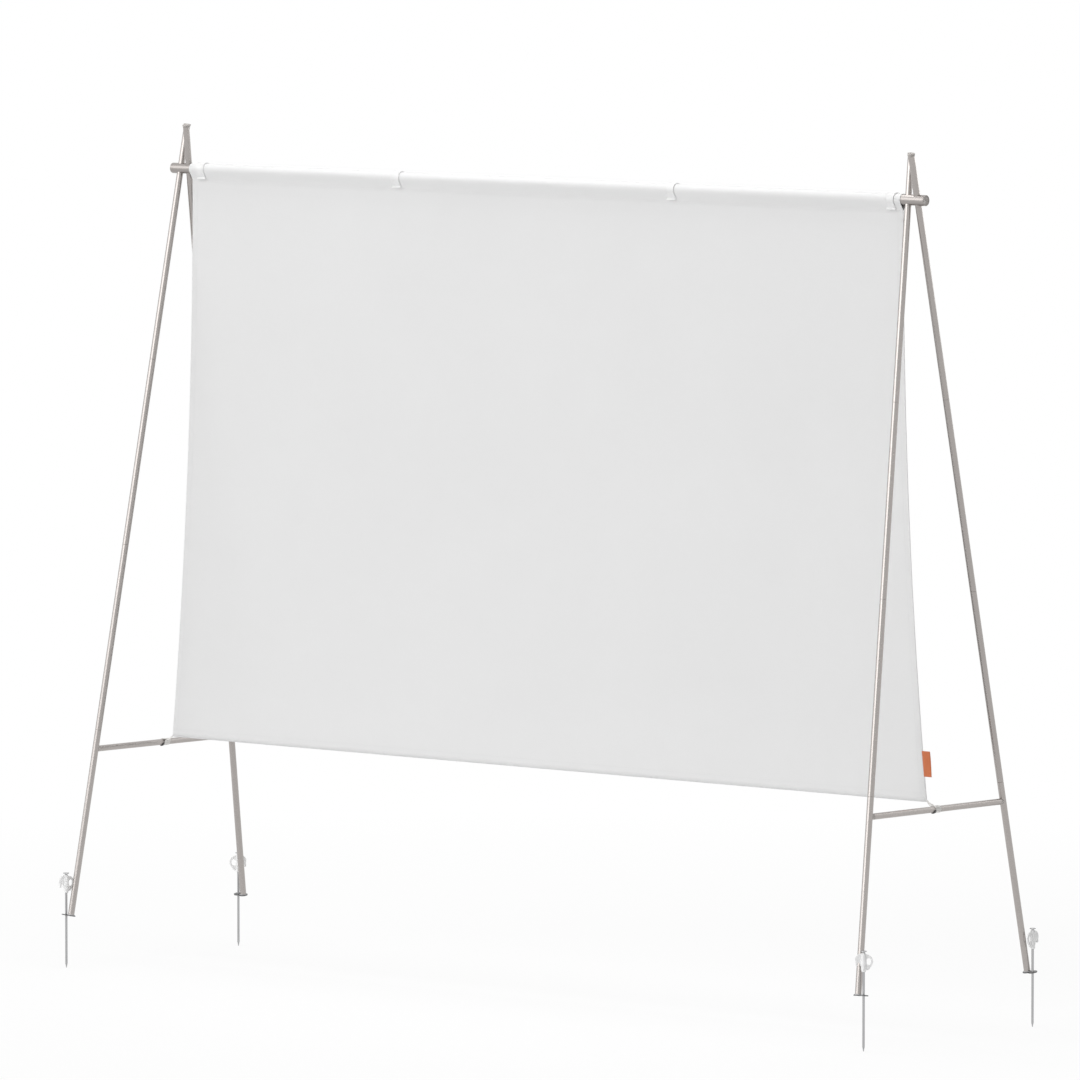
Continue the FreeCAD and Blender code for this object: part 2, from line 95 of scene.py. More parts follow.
def to_linear(*shades):
    """Screen shades from 0 to 255 as the linear colour that shows them. One shade is a grey."""
    values = []
    for shade in shades:
        part = shade / 255
        values.append(part / 12.92 if part <= 0.04045 else ((part + 0.055) / 1.055) ** 2.4)
    return tuple(values) if len(values) > 1 else tuple(values * 3)


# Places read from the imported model

def box_middle(node):
    """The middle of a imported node's box."""
    low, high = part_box(node)
    return (low + high) / 2


def joint_of(end, side, action):
    """A leg's packed joint."""
    return next(joint for joint in frame["joints"] if joint["name"] == f"{end}_{side}_{action}")


def leg_up(end, side):
    """The direction up a leg, which is the way its stub lifts out."""
    return Vector(joint_of(end, side, "stub_lift")["axis"]).normalized()


def peg_axis(end, side):
    """The point on a peg's axis that its head turns about."""
    return Vector(joint_of(end, side, "head_turn")["pos_m"])


def leg_foot(end, side):
    """The middle of a leg's lower end, on top of its foot plate."""
    place = peg_axis(end, side)
    return Vector((place.x - ENDS[end] * bpy.context.scene.fitting_sizes.peg_offset, place.y, 0.0))


def stub_top(end, side):
    """The middle of a stub's upper end, read from the stub's box."""
    up, foot = leg_up(end, side), leg_foot(end, side)
    top_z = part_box(f"{end}_{side}_stub")[1].z - POLE_R * math.sqrt(1 - up.z ** 2)
    return foot + up * ((top_z - foot.z) / up.z)


def bar_end(end, side):
    """Where a crossbar's axis meets a leg's axis."""
    up, foot = leg_up(end, side), leg_foot(end, side)
    return foot + up * ((box_middle(f"{end}_crossbar").z - foot.z) / up.z)


def strap_place(sizes, end):
    """The point on a crossbar's axis that the strap is looped round, and the direction of the bar."""
    front, rear = bar_end(end, "front"), bar_end(end, "rear")
    crossing = sizes.strap_y_left if end == "left" else sizes.strap_y_right
    bar = rear - front
    return front + bar * ((crossing - front.y) / bar.y), bar.normalized()


tube_low, tube_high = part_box("top_tube_centre")
TUBE_Z = (tube_low.z + tube_high.z) / 2
TUBE_R = (tube_high.z - tube_low.z) / 2
CLIP_PLACES = [box_middle(name).x for name in CLIPS]


# Sizes and colours a user would change

def number(words, default, **kind):
    """A number that a user can change."""
    return bpy.props.FloatProperty(description=words, default=default, **kind)


def size(millimetres, words):
    """A length that a user can change, given in millimetres."""
    return number(words, millimetres / 1000, unit="LENGTH", precision=5)


def colour(words, *shades):
    """A colour that a user can change, given in screen shades."""
    return bpy.props.FloatVectorProperty(description=words, subtype="COLOR", default=to_linear(*shades))


class ClothSizes(bpy.types.PropertyGroup):
    thickness: size(0.8, "Thickness of the cloth")
    tube_gap: size(0.3, "Space between the tube and the sleeve")
    top_half_width: size(1204, "From the middle to the side edge at the seam")
    corner_half_width: size(1283, "From the middle to a lower corner")
    sleeve_drop: size(28, "From the tube's axis down to the seam")
    drop: size(1500, "From the seam down to the lower edge")
    shift: size(-2.0, "How far the cloth's middle lies along the tube from the tube's middle")
    curl_width: size(24, "Width of the side strip that bends back")
    curl_depth: size(3, "How far a lower corner bends back")
    curl_start_depth: size(0.4, "How far the sides bend back higher up")
    curl_reach: size(740, "Height over which the curl fades out")
    ripple: size(0.6, "Depth of the slack waves in the panel")
    hem_width: size(20, "Width of the hems turned to the back")
    stitch_pitch: size(5, "From one stitch to the next")
    stitch_length: size(3.4, "Length of one stitch")
    stitch_radius: size(0.3, "Half the thickness of the thread")


class FittingSizes(bpy.types.PropertyGroup):
    clip_width: size(28, "Length of a clip along the sleeve")
    clip_thickness: size(1.8, "Wall of a clip")
    clip_gap: size(0.3, "Space between a clip and the sleeve")
    clip_leg: size(15.7, "Straight leg of a clip below its arch")
    clip_lip: size(7, "Flared lip at the end of a leg")
    clip_knee: size(2.5, "Inner radius of the bend between a leg and its lip")
    bead_width: size(3.5, "Width of the raised band at each end of a clip")
    bead_rise: size(0.5, "How far the bands stand out")
    strap_width: size(20, "Width of the webbing round the crossbar")
    strap_neck: size(12, "Width of the webbing where it reaches the cloth")
    strap_thickness: size(1.2, "Thickness of the webbing")
    strap_reach: size(14, "From the crossbar's axis to where the loop closes")
    strap_y_left: size(4, "Where the left strap crosses its bar, behind the cloth")
    strap_y_right: size(-2, "Where the right strap crosses its bar, behind the cloth")
    keeper_width: size(5, "Width of the dark keeper beside the strap")
    keeper_thickness: size(2.6, "Thickness of the dark keeper below the bar")
    tag_width: size(22, "How far the folded tag stands out")
    tag_height: size(65, "Height of the folded tag")
    tag_drop: size(1371, "From the seam down to the tag")
    peg_offset: size(17.3, "From a pole's foot out to the peg beside it")
    weld_radius: size(1.7, "Half the width of the bead round a pole's foot")


class HeadSizes(bpy.types.PropertyGroup):
    flange: size(4.6, "Thickness of the flat web that carries the eye and the hook")
    bore: size(3.6, "Radius of the hole that the nail passes through")
    grain: size(0.45, "Size of the cells that the moulding is made from")
    eye_radius: size(17.5, "Radius of the lobe round the eye")
    eye_reach: size(12.6, "From the nail to the middle of the eye")
    eye_half: size(5.6, "Half the width of the eye")
    eye_straight: size(6, "Straight part of the eye's sides")
    hook_radius: size(15.5, "Radius of the lobe of the hook")
    hook_slot: size(3.2, "Half the width of the hook's slot")


class ScreenColours(bpy.types.PropertyGroup):
    cloth: colour("Colour of the screen cloth", 232)
    steel: colour("Colour of the drawn steel", 168, 163, 160)
    plate: colour("Colour of the zinc plated steel", 176, 176, 177)
    plastic: colour("Colour of the white mouldings", 244)
    cap: colour("Colour of the end plugs and caps", 176, 171, 167)
    # Painted shade: the keepers are modelled pieces whose dark colour paints the shade beside each strap
    # below its crossbar.
    keeper: colour("Colour of the strap keepers", 84, 82, 81)
    webbing: colour("Colour of the tie straps", 240, 238, 235)
    tag: colour("Colour of the side tag", 214, 124, 84)
    floor: colour("Colour of the studio floor", 248)


class CameraPlace(bpy.types.PropertyGroup):
    azimuth: number("Turn of the view about the upright", 0.6966, subtype="ANGLE")
    pitch: number("How far the view looks down", 0.08372, subtype="ANGLE")
    distance: number("From the camera to the point it looks at", 29.35449, unit="LENGTH")
    target_x: number("Where the view's middle lies along the tube", 0.00268, unit="LENGTH")
    target_z: number("Height of the view's middle", 1.05674, unit="LENGTH")
    lens: number("Focal length in millimetres, for a sensor 36 wide", 375.3753)


# Mesh helpers

def turn_steps(count):
    """The angles of a full turn in equal steps."""
    return [2 * math.pi * k / count for k in range(count)]


def arc_points(centre, radius, start, end, count):
    """Points of an arc between two angles, both ends included."""
    angles = [start + (end - start) * k / count for k in range(count + 1)]
    return [(centre[0] + radius * math.cos(a), centre[1] + radius * math.sin(a)) for a in angles]


def points_between(start, end, count=5):
    """Points in equal steps between two flat points, both ends left out."""
    shares = [k / (count + 1) for k in range(1, count + 1)]
    return [tuple(a * (1 - share) + b * share for a, b in zip(start, end)) for share in shares]


def grid_faces(rows, columns, close_rows=False, close_columns=False):
    """Quads of a grid whose points are listed row by row."""
    faces = []
    for i in range(rows if close_rows else rows - 1):
        here, below = i * columns, (i + 1) % rows * columns
        for j in range(columns if close_columns else columns - 1):
            beside = (j + 1) % columns
            faces.append((here + j, here + beside, below + beside, below + j))
    return faces


def shifted(faces, start):
    """Faces with every point number raised."""
    return [tuple(index + start for index in face) for face in faces]


def join_parts(*parts):
    """Several (points, faces) pairs as one."""
    points, faces = [], []
    for part_points, part_faces in parts:
        faces += shifted(part_faces, len(points))
        points += part_points
    return points, faces


def frame_of(axis):
    """Two directions at right angles to an axis."""
    side = axis.cross(Z_AXIS)
    if side.length < 1e-6:
        side = X_AXIS.copy()
    side.normalize()
    return side, axis.cross(side)


def turned(profile, base, axis, segments=48):
    """Points and faces of a closed outline of (radius, height) pairs turned about an axis."""
    side, across = frame_of(axis)
    points = [base + axis * height + (side * math.cos(angle) + across * math.sin(angle)) * radius
              for radius, height in profile for angle in turn_steps(segments)]
    return points, grid_faces(len(profile), segments, close_rows=True, close_columns=True)


def extruded(outline, base, along, across, length):
    """Points and faces of a closed outline of (across, up) pairs swept from a base along a direction."""
    count = len(outline)
    points = [base + across * a + Z_AXIS * u for a, u in outline]
    points += [p + along * length for p in points[:count]]
    faces = [tuple(reversed(range(count))), tuple(range(count, 2 * count))]
    faces += [(k, (k + 1) % count, count + (k + 1) % count, count + k) for k in range(count)]
    return points, faces


def mesh_piece(name, shape, material, smooth_angle=30.0):
    """A mesh object of (points, faces) with one material, smooth up to an angle in degrees."""
    points, faces = shape
    mesh = bpy.data.meshes.new(name)
    mesh.from_pydata([tuple(p) for p in points], [], faces)
    mesh.validate()
    mesh.update()
    mesh.polygons.foreach_set("use_smooth", [True] * len(mesh.polygons))
    mesh.set_sharp_from_angle(angle=math.radians(smooth_angle))
    mesh.materials.append(material)
    piece = bpy.data.objects.new(name, mesh)
    bpy.context.scene.collection.objects.link(piece)
    return piece


def build(name, shape, finish, smooth_angle, body, slot_name, *nodes, thickness=None):
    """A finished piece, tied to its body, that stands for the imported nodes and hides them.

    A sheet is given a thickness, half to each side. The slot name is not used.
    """
    piece = mesh_piece(name, shape, finish_named(finish), smooth_angle)
    if thickness is not None:
        skin = piece.modifiers.new("thickness", "SOLIDIFY")
        skin.thickness = thickness
        skin.offset = 0.0
    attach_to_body(piece, body)
    if nodes:
        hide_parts(*nodes)
    return piece


def bevelled(piece, width, segments=3, angle=35.0):
    """Round a piece's edges that are sharper than an angle in degrees."""
    bevel = piece.modifiers.new("rounded edges", "BEVEL")
    bevel.width = width
    bevel.segments = segments
    bevel.limit_method = "ANGLE"
    bevel.angle_limit = math.radians(angle)
    bevel.harden_normals = True


# Shader nodes

# The colour sockets of a mix node, by their place
MIX_SHARE, MIX_FIRST, MIX_SECOND, MIX_RESULT = 0, 6, 7, 2


def add_node(tree, kind, inputs=None, output=0, **settings):
    """An output of a new shader node. Each input is given another socket or a constant."""
    node = tree.nodes.new(kind)
    for name, value in settings.items():
        setattr(node, name, value)
    for label, value in (inputs or {}).items():
        if isinstance(value, bpy.types.NodeSocket):
            tree.links.new(value, node.inputs[label])
        else:
            node.inputs[label].default_value = value
    return node.outputs[output]


def math_node(tree, operation, *values, clamp=False):
    """A calculation on numbers."""
    return add_node(tree, "ShaderNodeMath", dict(enumerate(values)), operation=operation, use_clamp=clamp)


def product(tree, first, second):
    """Two numbers multiplied."""
    return math_node(tree, "MULTIPLY", first, second)


def dot_product(tree, first, second):
    """How far one vector reaches along another."""
    return add_node(tree, "ShaderNodeVectorMath", {0: first, 1: second}, "Value", operation="DOT_PRODUCT")


def scaled(tree, vector, scale):
    """A vector made longer or shorter."""
    return add_node(tree, "ShaderNodeVectorMath", {0: vector, "Scale": scale}, operation="SCALE")


def object_place(tree):
    """The place on the object, in its own coordinates."""
    return add_node(tree, "ShaderNodeTexCoord", output="Object")


def upright_part(tree, vector):
    """The Z part of a vector."""
    return add_node(tree, "ShaderNodeSeparateXYZ", {0: vector}, "Z")


def noise_node(tree, vector, scale, detail=3.0):
    """A noise value, mostly between 0.3 and 0.7."""
    return add_node(tree, "ShaderNodeTexNoise", {"Vector": vector, "Scale": scale, "Detail": detail}, "Fac")


def ranged(tree, value, from_low, from_high, to_low, to_high):
    """A value carried from one range over to another, and held at its ends."""
    return add_node(tree, "ShaderNodeMapRange",
                    {"Value": value, "From Min": from_low, "From Max": from_high, "To Min": to_low,
                     "To Max": to_high}, "Result")


def spread(tree, noise_value, low, high):
    """A noise value spread over a range."""
    return ranged(tree, noise_value, 0.3, 0.7, low, high)


def mixed(tree, share, first, second):
    """Two colours mixed. Each is a socket or a constant of three parts."""
    first, second = ((*tone, 1) if isinstance(tone, tuple) else tone for tone in (first, second))
    return add_node(tree, "ShaderNodeMix", {MIX_SHARE: share, MIX_FIRST: first, MIX_SECOND: second},
                    MIX_RESULT, data_type="RGBA")


def new_group(name, inputs):
    """A shader node group and the sockets of its inputs, given as labels with their constants."""
    group = bpy.data.node_groups.new(name, "ShaderNodeTree")
    for label, constant in inputs.items():
        kind = "NodeSocketVector" if isinstance(constant, tuple) else "NodeSocketFloat"
        socket = group.interface.new_socket(name=label, in_out="INPUT", socket_type=kind)
        socket.default_value = constant
    return group, group.nodes.new("NodeGroupInput").outputs


def put_out(group, **values):
    """The group, with each value given as an output."""
    for label in values:
        group.interface.new_socket(name=label, in_out="OUTPUT", socket_type="NodeSocketFloat")
    result = group.nodes.new("NodeGroupOutput")
    for label, value in values.items():
        group.links.new(value, result.inputs[label])
    return group


@cache
def drawn_grain():
    """Fine lines left along a drawn tube, faint clouding across it and worn bright spots."""
    group, given = new_group("drawn grain", {"Axis": (0, 0, 1), "Line Scale": 2600.0, "Stretch": 0.012})
    place = object_place(group)
    along_part = scaled(group, given["Axis"], dot_product(group, place, given["Axis"]))
    across = add_node(group, "ShaderNodeVectorMath", {0: place, 1: along_part}, operation="SUBTRACT")
    short = scaled(group, along_part, given["Stretch"])
    line_place = add_node(group, "ShaderNodeVectorMath", {0: across, 1: short}, operation="ADD")
    lines = noise_node(group, scaled(group, line_place, given["Line Scale"]), 1.0, detail=2.0)
    clouds = noise_node(group, place, 9.0, detail=4.0)
    specks = noise_node(group, place, 240.0, detail=2.0)
    return put_out(group, Lines=lines, Clouds=clouds, Wear=ranged(group, specks, 0.66, 0.74, 0.0, 1.0))


@cache
def edge_wear():
    """A mask on outer corners, where handling polishes a metal or a plastic."""
    group, given = new_group("edge wear", {"Sharpness": 0.56, "Patch Scale": 130.0})
    pointed = add_node(group, "ShaderNodeNewGeometry", output="Pointiness")
    patches = noise_node(group, object_place(group), given["Patch Scale"], detail=2.0)
    fully_worn = math_node(group, "ADD", given["Sharpness"], 0.08)
    edge = ranged(group, pointed, given["Sharpness"], fully_worn, 0.0, 1.0)
    return put_out(group, Edge=math_node(group, "MULTIPLY", edge, patches, clamp=True))


@cache
def woven_threads():
    """Crossing threads: over and under, with a little slub and long faint shade changes."""
    group, given = new_group("woven threads", {"Thread": 0.0007, "Warp": (1, 0, 0), "Weft": (0, 0, 1)})
    place = object_place(group)
    waves = []
    for label in ("Warp", "Weft"):
        turns = math_node(group, "DIVIDE", dot_product(group, place, given[label]), given["Thread"])
        waves.append(math_node(group, "SINE", product(group, turns, math.pi)))
    over_under = product(group, *waves)
    both = product(group, *[product(group, wave, wave) for wave in waves])
    gap = ranged(group, both, 0.0, 0.08, 1.0, 0.0)
    height = math_node(group, "ADD", product(group, over_under, 0.5), product(group, both, 0.5))
    return put_out(group, Height=height, Gap=gap, Slub=noise_node(group, place, 900.0, detail=2.0),
                   Clouds=noise_node(group, place, 2.2))


@cache
def moulded_skin():
    """The fine spark texture, the faint flow marks and the dust of a moulded plastic."""
    group, given = new_group("moulded skin", {"Grain Scale": 1500.0})
    place = object_place(group)
    grain = noise_node(group, place, given["Grain Scale"])
    flow = noise_node(group, place, 45.0, detail=2.0)
    facing_up = upright_part(group, add_node(group, "ShaderNodeNewGeometry", output="Normal"))
    dust = product(group, math_node(group, "MAXIMUM", facing_up, 0.0), noise_node(group, place, 300.0))
    return put_out(group, Height=grain, Flow=flow, Dust=dust)


def group_node(tree, maker, **values):
    """The outputs of a node of a group, with some of its inputs set."""
    node = tree.nodes.new("ShaderNodeGroup")
    node.node_tree = maker()
    for label, value in values.items():
        node.inputs[label.replace("_", " ")].default_value = value
    return node.outputs


# Materials

def new_material(name, metallic=0.0, roughness=0.5, specular=0.5):
    """A material with its Principled BSDF, and the node tree to build on."""
    material = bpy.data.materials.new(name)
    material.use_nodes = True
    shader = material.node_tree.nodes["Principled BSDF"]
    shader.inputs["Metallic"].default_value = metallic
    shader.inputs["Roughness"].default_value = roughness
    shader.inputs["Specular IOR Level"].default_value = specular
    return material, material.node_tree, shader


def shaded(tone, factor):
    """A colour made darker or lighter."""
    return tuple(min(1.0, part * factor) for part in tone)


def clouded(tree, clouds, tone, darkest, lightest):
    """A colour that drifts between two shades of itself."""
    return mixed(tree, spread(tree, clouds, 0.0, 1.0), shaded(tone, darkest), shaded(tone, lightest))


def rubbed(tree, edge, ground, share, light):
    """A ground colour that is rubbed lighter on outer corners."""
    return mixed(tree, product(tree, edge, share), ground, light)


def cover(tree, shader, tone, roughness, height, depth):
    """Feed a shader with its colour, its roughness and a bump of that depth."""
    normal = add_node(tree, "ShaderNodeBump", {"Strength": 1.0, "Distance": depth, "Height": height})
    for label, value in (("Base Color", tone), ("Roughness", roughness), ("Normal", normal)):
        tree.links.new(value, shader.inputs[label])


def steel_material(name, tone, axis, roughness, line_scale=2600.0):
    """Drawn or rolled steel with its lines along an axis."""
    material, tree, shader = new_material(name, metallic=1.0)
    grain = group_node(tree, drawn_grain, Axis=axis, Line_Scale=line_scale)
    edge = group_node(tree, edge_wear)["Edge"]
    cloudy = clouded(tree, grain["Clouds"], tone, darkest=0.965, lightest=1.03)
    lined = mixed(tree, ranged(tree, grain["Lines"], 0.35, 0.65, 0.0, 0.3), cloudy, shaded(tone, 0.86))
    worn = rubbed(tree, edge, lined, share=0.6, light=shaded(tone, 1.3))
    rough = math_node(tree, "ADD", spread(tree, grain["Lines"], roughness - 0.05, roughness + 0.06),
                      product(tree, grain["Wear"], 0.08))
    cover(tree, shader, worn, rough, grain["Lines"], depth=0.000004)
    return material


def plastic_material(name, tone, roughness, painted_light_below=None):
    """A moulded plastic with spark texture, flow marks, dust and rubbed edges.

    Below a height it can be painted paler: painted light on a clip's lip that faces up to the lamps.
    """
    material, tree, shader = new_material(name)
    skin = group_node(tree, moulded_skin)
    edge = group_node(tree, edge_wear, Sharpness=0.58)["Edge"]
    ground = clouded(tree, skin["Flow"], tone, darkest=0.955, lightest=1.03)
    # Painted light: below the given height the colour is made paler, standing in for light falling on a
    # clip's lip.
    if painted_light_below is not None:
        height = upright_part(tree, object_place(tree))
        painted_light_share = ranged(tree, height, painted_light_below - 0.0008, painted_light_below, 1.0, 0.0)
        ground = mixed(tree, painted_light_share, ground, shaded(tone, 1.2))
    dusty = mixed(tree, product(tree, skin["Dust"], 0.12), ground, to_linear(150, 146, 140))
    worn = rubbed(tree, edge, dusty, share=0.5, light=shaded(tone, 1.12))
    rough = spread(tree, skin["Height"], roughness - 0.06, roughness + 0.08)
    cover(tree, shader, worn, rough, skin["Height"], depth=0.00002)
    return material


def woven_material(name, tone, thread, warp=(1, 0, 0), depth=0.00012, gap_shade=0.86, sheen=0.1):
    """A woven cloth, webbing or tape with threads along the warp and upward."""
    roughness = 0.85
    material, tree, shader = new_material(name, roughness=roughness, specular=0.25)
    shader.inputs["Sheen Weight"].default_value = sheen
    shader.inputs["Sheen Roughness"].default_value = 0.4
    weave = group_node(tree, woven_threads, Thread=thread, Warp=warp)
    cloudy = clouded(tree, weave["Clouds"], tone, darkest=0.985, lightest=1.012)
    slubby = mixed(tree, ranged(tree, weave["Slub"], 0.35, 0.7, 0.0, 0.3), cloudy, shaded(tone, 0.93))
    threads = mixed(tree, weave["Gap"], slubby, shaded(tone, gap_shade))
    rough = spread(tree, weave["Slub"], roughness - 0.08, roughness + 0.06)
    cover(tree, shader, threads, rough, weave["Height"], depth)
    return material


# Below this drop the clips are painted paler, as painted light on their lips.
CLIP_KNEE_DROP = 0.0217     # from the tube's axis down to the bend above a clip's lip

# Each finish: its maker, its name, the colour it starts from and how much darker it is, then its settings
FINISHES = {
    "cloth": (woven_material, "white screen cloth", "cloth", 1.0,
              dict(thread=0.00045, gap_shade=0.95, depth=0.00005, sheen=0.05)),
    "thread": (woven_material, "white sewing thread", "cloth", 0.94, dict(thread=0.0002)),
    "webbing": (woven_material, "white webbing", "webbing", 1.0,
                dict(thread=0.0009, warp=(0, 1, 0), depth=0.0003, gap_shade=0.8)),
    "tag": (woven_material, "orange woven tape", "tag", 1.0,
            dict(thread=0.0006, depth=0.00015, gap_shade=0.82, sheen=0.2)),
    "white": (plastic_material, "white moulding", "plastic", 1.0, dict(roughness=0.42)),
    # The clip's lip below its bend is painted paler, as painted light.
    "clip": (plastic_material, "milky clip moulding", "plastic", 0.9,
             dict(roughness=0.36, painted_light_below=TUBE_Z - CLIP_KNEE_DROP)),
    "cap": (plastic_material, "grey end cap", "cap", 1.0, dict(roughness=0.38)),
    # The keepers' dark colour is painted shade beside the straps.
    "keeper": (plastic_material, "dark keeper moulding", "keeper", 1.0, dict(roughness=0.45)),
    # The foot plates are drawn at a third of the zinc colour that the nails and welds keep.
    "plate": (steel_material, "dark zinc foot plate", "plate", 0.32,
              dict(axis=X_AXIS, roughness=0.38, line_scale=900.0)),
    "weld": (steel_material, "weld metal", "plate", 0.9,
             dict(axis=Z_AXIS, roughness=0.5, line_scale=500.0)),
    "nail": (steel_material, "zinc plated nail", "plate", 1.0,
             dict(axis=Z_AXIS, roughness=0.36, line_scale=1800.0)),
    "tube": (steel_material, "drawn steel tube", "steel", 0.95, dict(axis=X_AXIS, roughness=0.36)),
    "bar": (steel_material, "drawn steel crossbar", "steel", 1.0, dict(axis=Y_AXIS, roughness=0.3)),
}


@cache
def finish_named(key):
    """The material of that finish, made the first time it is asked for."""
    maker, name, tone_name, factor, settings = FINISHES[key]
    tone = shaded(getattr(bpy.context.scene.screen_colours, tone_name), factor)
    return maker(name, tone, **settings)


@cache
def leg_finish(end, side):
    """Drawn steel with its lines along that leg."""
    tone = tuple(bpy.context.scene.screen_colours.steel)
    return steel_material(f"drawn steel pole {end} {side}", tone, leg_up(end, side), roughness=0.23)


def dress(material, *nodes):
    """Give carried-over nodes their finish."""
    for node in nodes:
        piece = frame["nodes"][node]
        if not piece.material_slots:
            piece.data.materials.append(material)
        for material_slot in piece.material_slots:
            material_slot.material = material


class SCREEN_OT_steel(bpy.types.Operator):
    """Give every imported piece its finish"""
    bl_idname = "screen.steel"
    bl_label = "Poles, tube and crossbars"

    def execute(self, context):
        for end, side in LEGS:
            leg = f"{end}_{side}"
            dress(leg_finish(end, side), f"{leg}_stub", *[f"{leg}_leg_{k}" for k in (1, 2, 3, 4)])
            for key, part in (("cap", "stub_cap"), ("plate", "foot_plate"), ("nail", "peg_nail"),
                              ("white", "peg_head")):
                dress(finish_named(key), f"{leg}_{part}")
        for key, nodes in (
                ("bar", [f"{end}_{part}" for end in ENDS for part in ("leg_spigots", "crossbar")]),
                ("webbing", [f"{end}_tie_strap" for end in ENDS]),
                ("cap", ["top_tube_plugs", *[f"crossbar_{side}_saddles" for side in SIDES]]),
                ("tube", ["top_tube_spigots", *TUBES]),
                ("keeper", ["strap_keepers"]), ("tag", ["side_tag"]), ("clip", CLIPS)):
            dress(finish_named(key), *nodes)
        return {"FINISHED"}


# The cloth

CLOTH_COLUMNS, CLOTH_ROWS = 161, 110
HEM_ROWS = 120
HEM_STEPS = (0.0006, 0.25, 0.5, 0.75, 1.0)      # places across a hem, as shares of its width
LOWER_HEM = 1.25            # width of the lower hem, as a share of the side hems' width
HEM_LIFT = 0.98             # how far the side hems lie behind the panel, in thicknesses
LOWER_LIFT = 1.9            # the same for the lower hem, in lifts of the side hems
HEM_SHARE = 0.8             # thickness of a hem, as a share of the cloth's
SEAM_TUCK = 0.006           # what the back of the sleeve reaches below the seam

# Slack waves: share of the depth, waves per metre along the tube, place in the noise, waves per metre down
SLACK_WAVES = ((1.0, 2.1, 3.7, 1.3), (0.5, 5.3, 9.1, 2.6))
CORNER_REACH = 0.42         # how far a tied corner pulls the cloth
PLEAT_TURN = 62.0           # radians per metre across the pleats of a tied corner
PLEAT_SLANT = 0.8
PLEAT_DEPTH = 0.0002
CLIP_PULL = 0.0004          # how far a clip draws the cloth forward below it
CLIP_SPREAD, CLIP_FADE = 0.05, 0.09
SLACK_TOP = 0.25            # share of the drop over which the slack grows below the seam
SLACK_EDGE = 12             # how fast the slack grows inward from the side edges
SLACK_AT_EDGE = 0.15
STITCH_INSET = 0.003        # from a hem's inner edge to its row of stitches
STITCH_MARGIN = 0.008       # what a row leaves free at the two ends of the lower hem
SEAM_MARGIN = 0.006
SEAM_ROWS = (0.0012, 0.0036)    # places of the two rows at the seam, as shares of the drop


def cloth_half_width(sizes, share):
    """Half the cloth's width at a share of its drop."""
    return sizes.top_half_width + (sizes.corner_half_width - sizes.top_half_width) * max(0.0, share) ** 2


def curl_at(sizes, height_above_hem, half_width, x):
    """How far the side edge bends back at a point of the panel."""
    fade = max(0.0, (sizes.curl_reach - height_above_hem) / sizes.curl_reach)
    depth = sizes.curl_start_depth + (sizes.curl_depth - sizes.curl_start_depth) * fade ** 2
    inside = max(0.0, abs(x) - (half_width - sizes.curl_width))
    return depth * min(1.0, inside / sizes.curl_width) ** 3


def panel_point(sizes, across, share, offset=0.0):
    """A point of the panel: across from -1 to 1, share from 0 at the seam to 1 at the lower edge."""
    half_width = cloth_half_width(sizes, share)
    x = across * half_width
    inset, above = half_width - abs(x), (1 - share) * sizes.drop
    z = TUBE_Z - sizes.sleeve_drop - share * sizes.drop
    fade = (math.sin(math.pi * min(1.0, share / SLACK_TOP) / 2)
            * min(1.0, (1 - abs(across)) * SLACK_EDGE + SLACK_AT_EDGE))
    slack = sum(depth * noise.noise(Vector((x * along, place, z * down)))
                for depth, along, place, down in SLACK_WAVES)
    corner = max(0.0, 1 - math.hypot(inset, above) / CORNER_REACH)
    pleats = math.sin((inset - PLEAT_SLANT * above) * PLEAT_TURN) * corner ** 2
    clips = sum(math.exp(-((x + sizes.shift - place) / CLIP_SPREAD) ** 2) for place in CLIP_PLACES)
    under_clip = math.exp(-share * sizes.drop / CLIP_FADE) * clips
    y = (curl_at(sizes, above, half_width, x) + sizes.ripple * fade * slack + PLEAT_DEPTH * pleats
         - CLIP_PULL * under_clip * fade)
    return Vector((x + sizes.shift, y + offset, z))


def across_stations(count=CLOTH_COLUMNS):
    """Places across the cloth from -1 to 1, closer together near the side edges."""
    quarter = math.pi / 2 * 0.98
    return [math.sin(quarter * (2 * k / (count - 1) - 1)) / math.sin(quarter) for k in range(count)]


def sleeve_middle(sizes):
    """The radius of the sleeve's middle line round the tube, and the lean of its sides below the tube."""
    radius = TUBE_R + sizes.tube_gap + sizes.thickness / 2
    return radius, math.asin(radius / sizes.sleeve_drop)


def sleeve_path(sizes):
    """The sleeve's section as (y, z) from the tube's axis: up from the seam behind, round, and down."""
    radius, lean = sleeve_middle(sizes)
    back, reach = sizes.thickness, sizes.sleeve_drop
    round_tube = arc_points((0, 0), radius, -lean, math.pi + lean, 28)
    return [(back, -reach - SEAM_TUCK), (back, -reach - 0.001),
            *points_between((back, -reach), round_tube[0]), *round_tube,
            *points_between(round_tube[-1], (0, -reach))]


def screen_cloth(sizes):
    """The sleeve and the panel as one sheet."""
    path, columns = sleeve_path(sizes), across_stations()
    points = [Vector((across * sizes.top_half_width + sizes.shift, y, TUBE_Z + z))
              for y, z in path for across in columns]
    points += [panel_point(sizes, across, k / CLOTH_ROWS) for k in range(CLOTH_ROWS + 1)
               for across in columns]
    return points, grid_faces(len(path) + CLOTH_ROWS + 1, CLOTH_COLUMNS)


def hems(sizes):
    """The turned edges behind the panel: one down each side, and the lower one over their ends."""
    parts = []
    lift = sizes.thickness * HEM_LIFT
    for end in ENDS.values():
        points = []
        for share in [k / HEM_ROWS for k in range(HEM_ROWS + 1)]:
            width = sizes.hem_width / cloth_half_width(sizes, share)
            points += [panel_point(sizes, end * (1 - step * width), share, lift) for step in HEM_STEPS]
        parts.append((points, grid_faces(HEM_ROWS + 1, len(HEM_STEPS))))
    height = sizes.hem_width * LOWER_HEM / sizes.drop
    points = [panel_point(sizes, across * 0.999, 1 - step * height, lift * LOWER_LIFT)
              for step in HEM_STEPS for across in across_stations()]
    return join_parts(*parts, (points, grid_faces(len(HEM_STEPS), CLOTH_COLUMNS)))


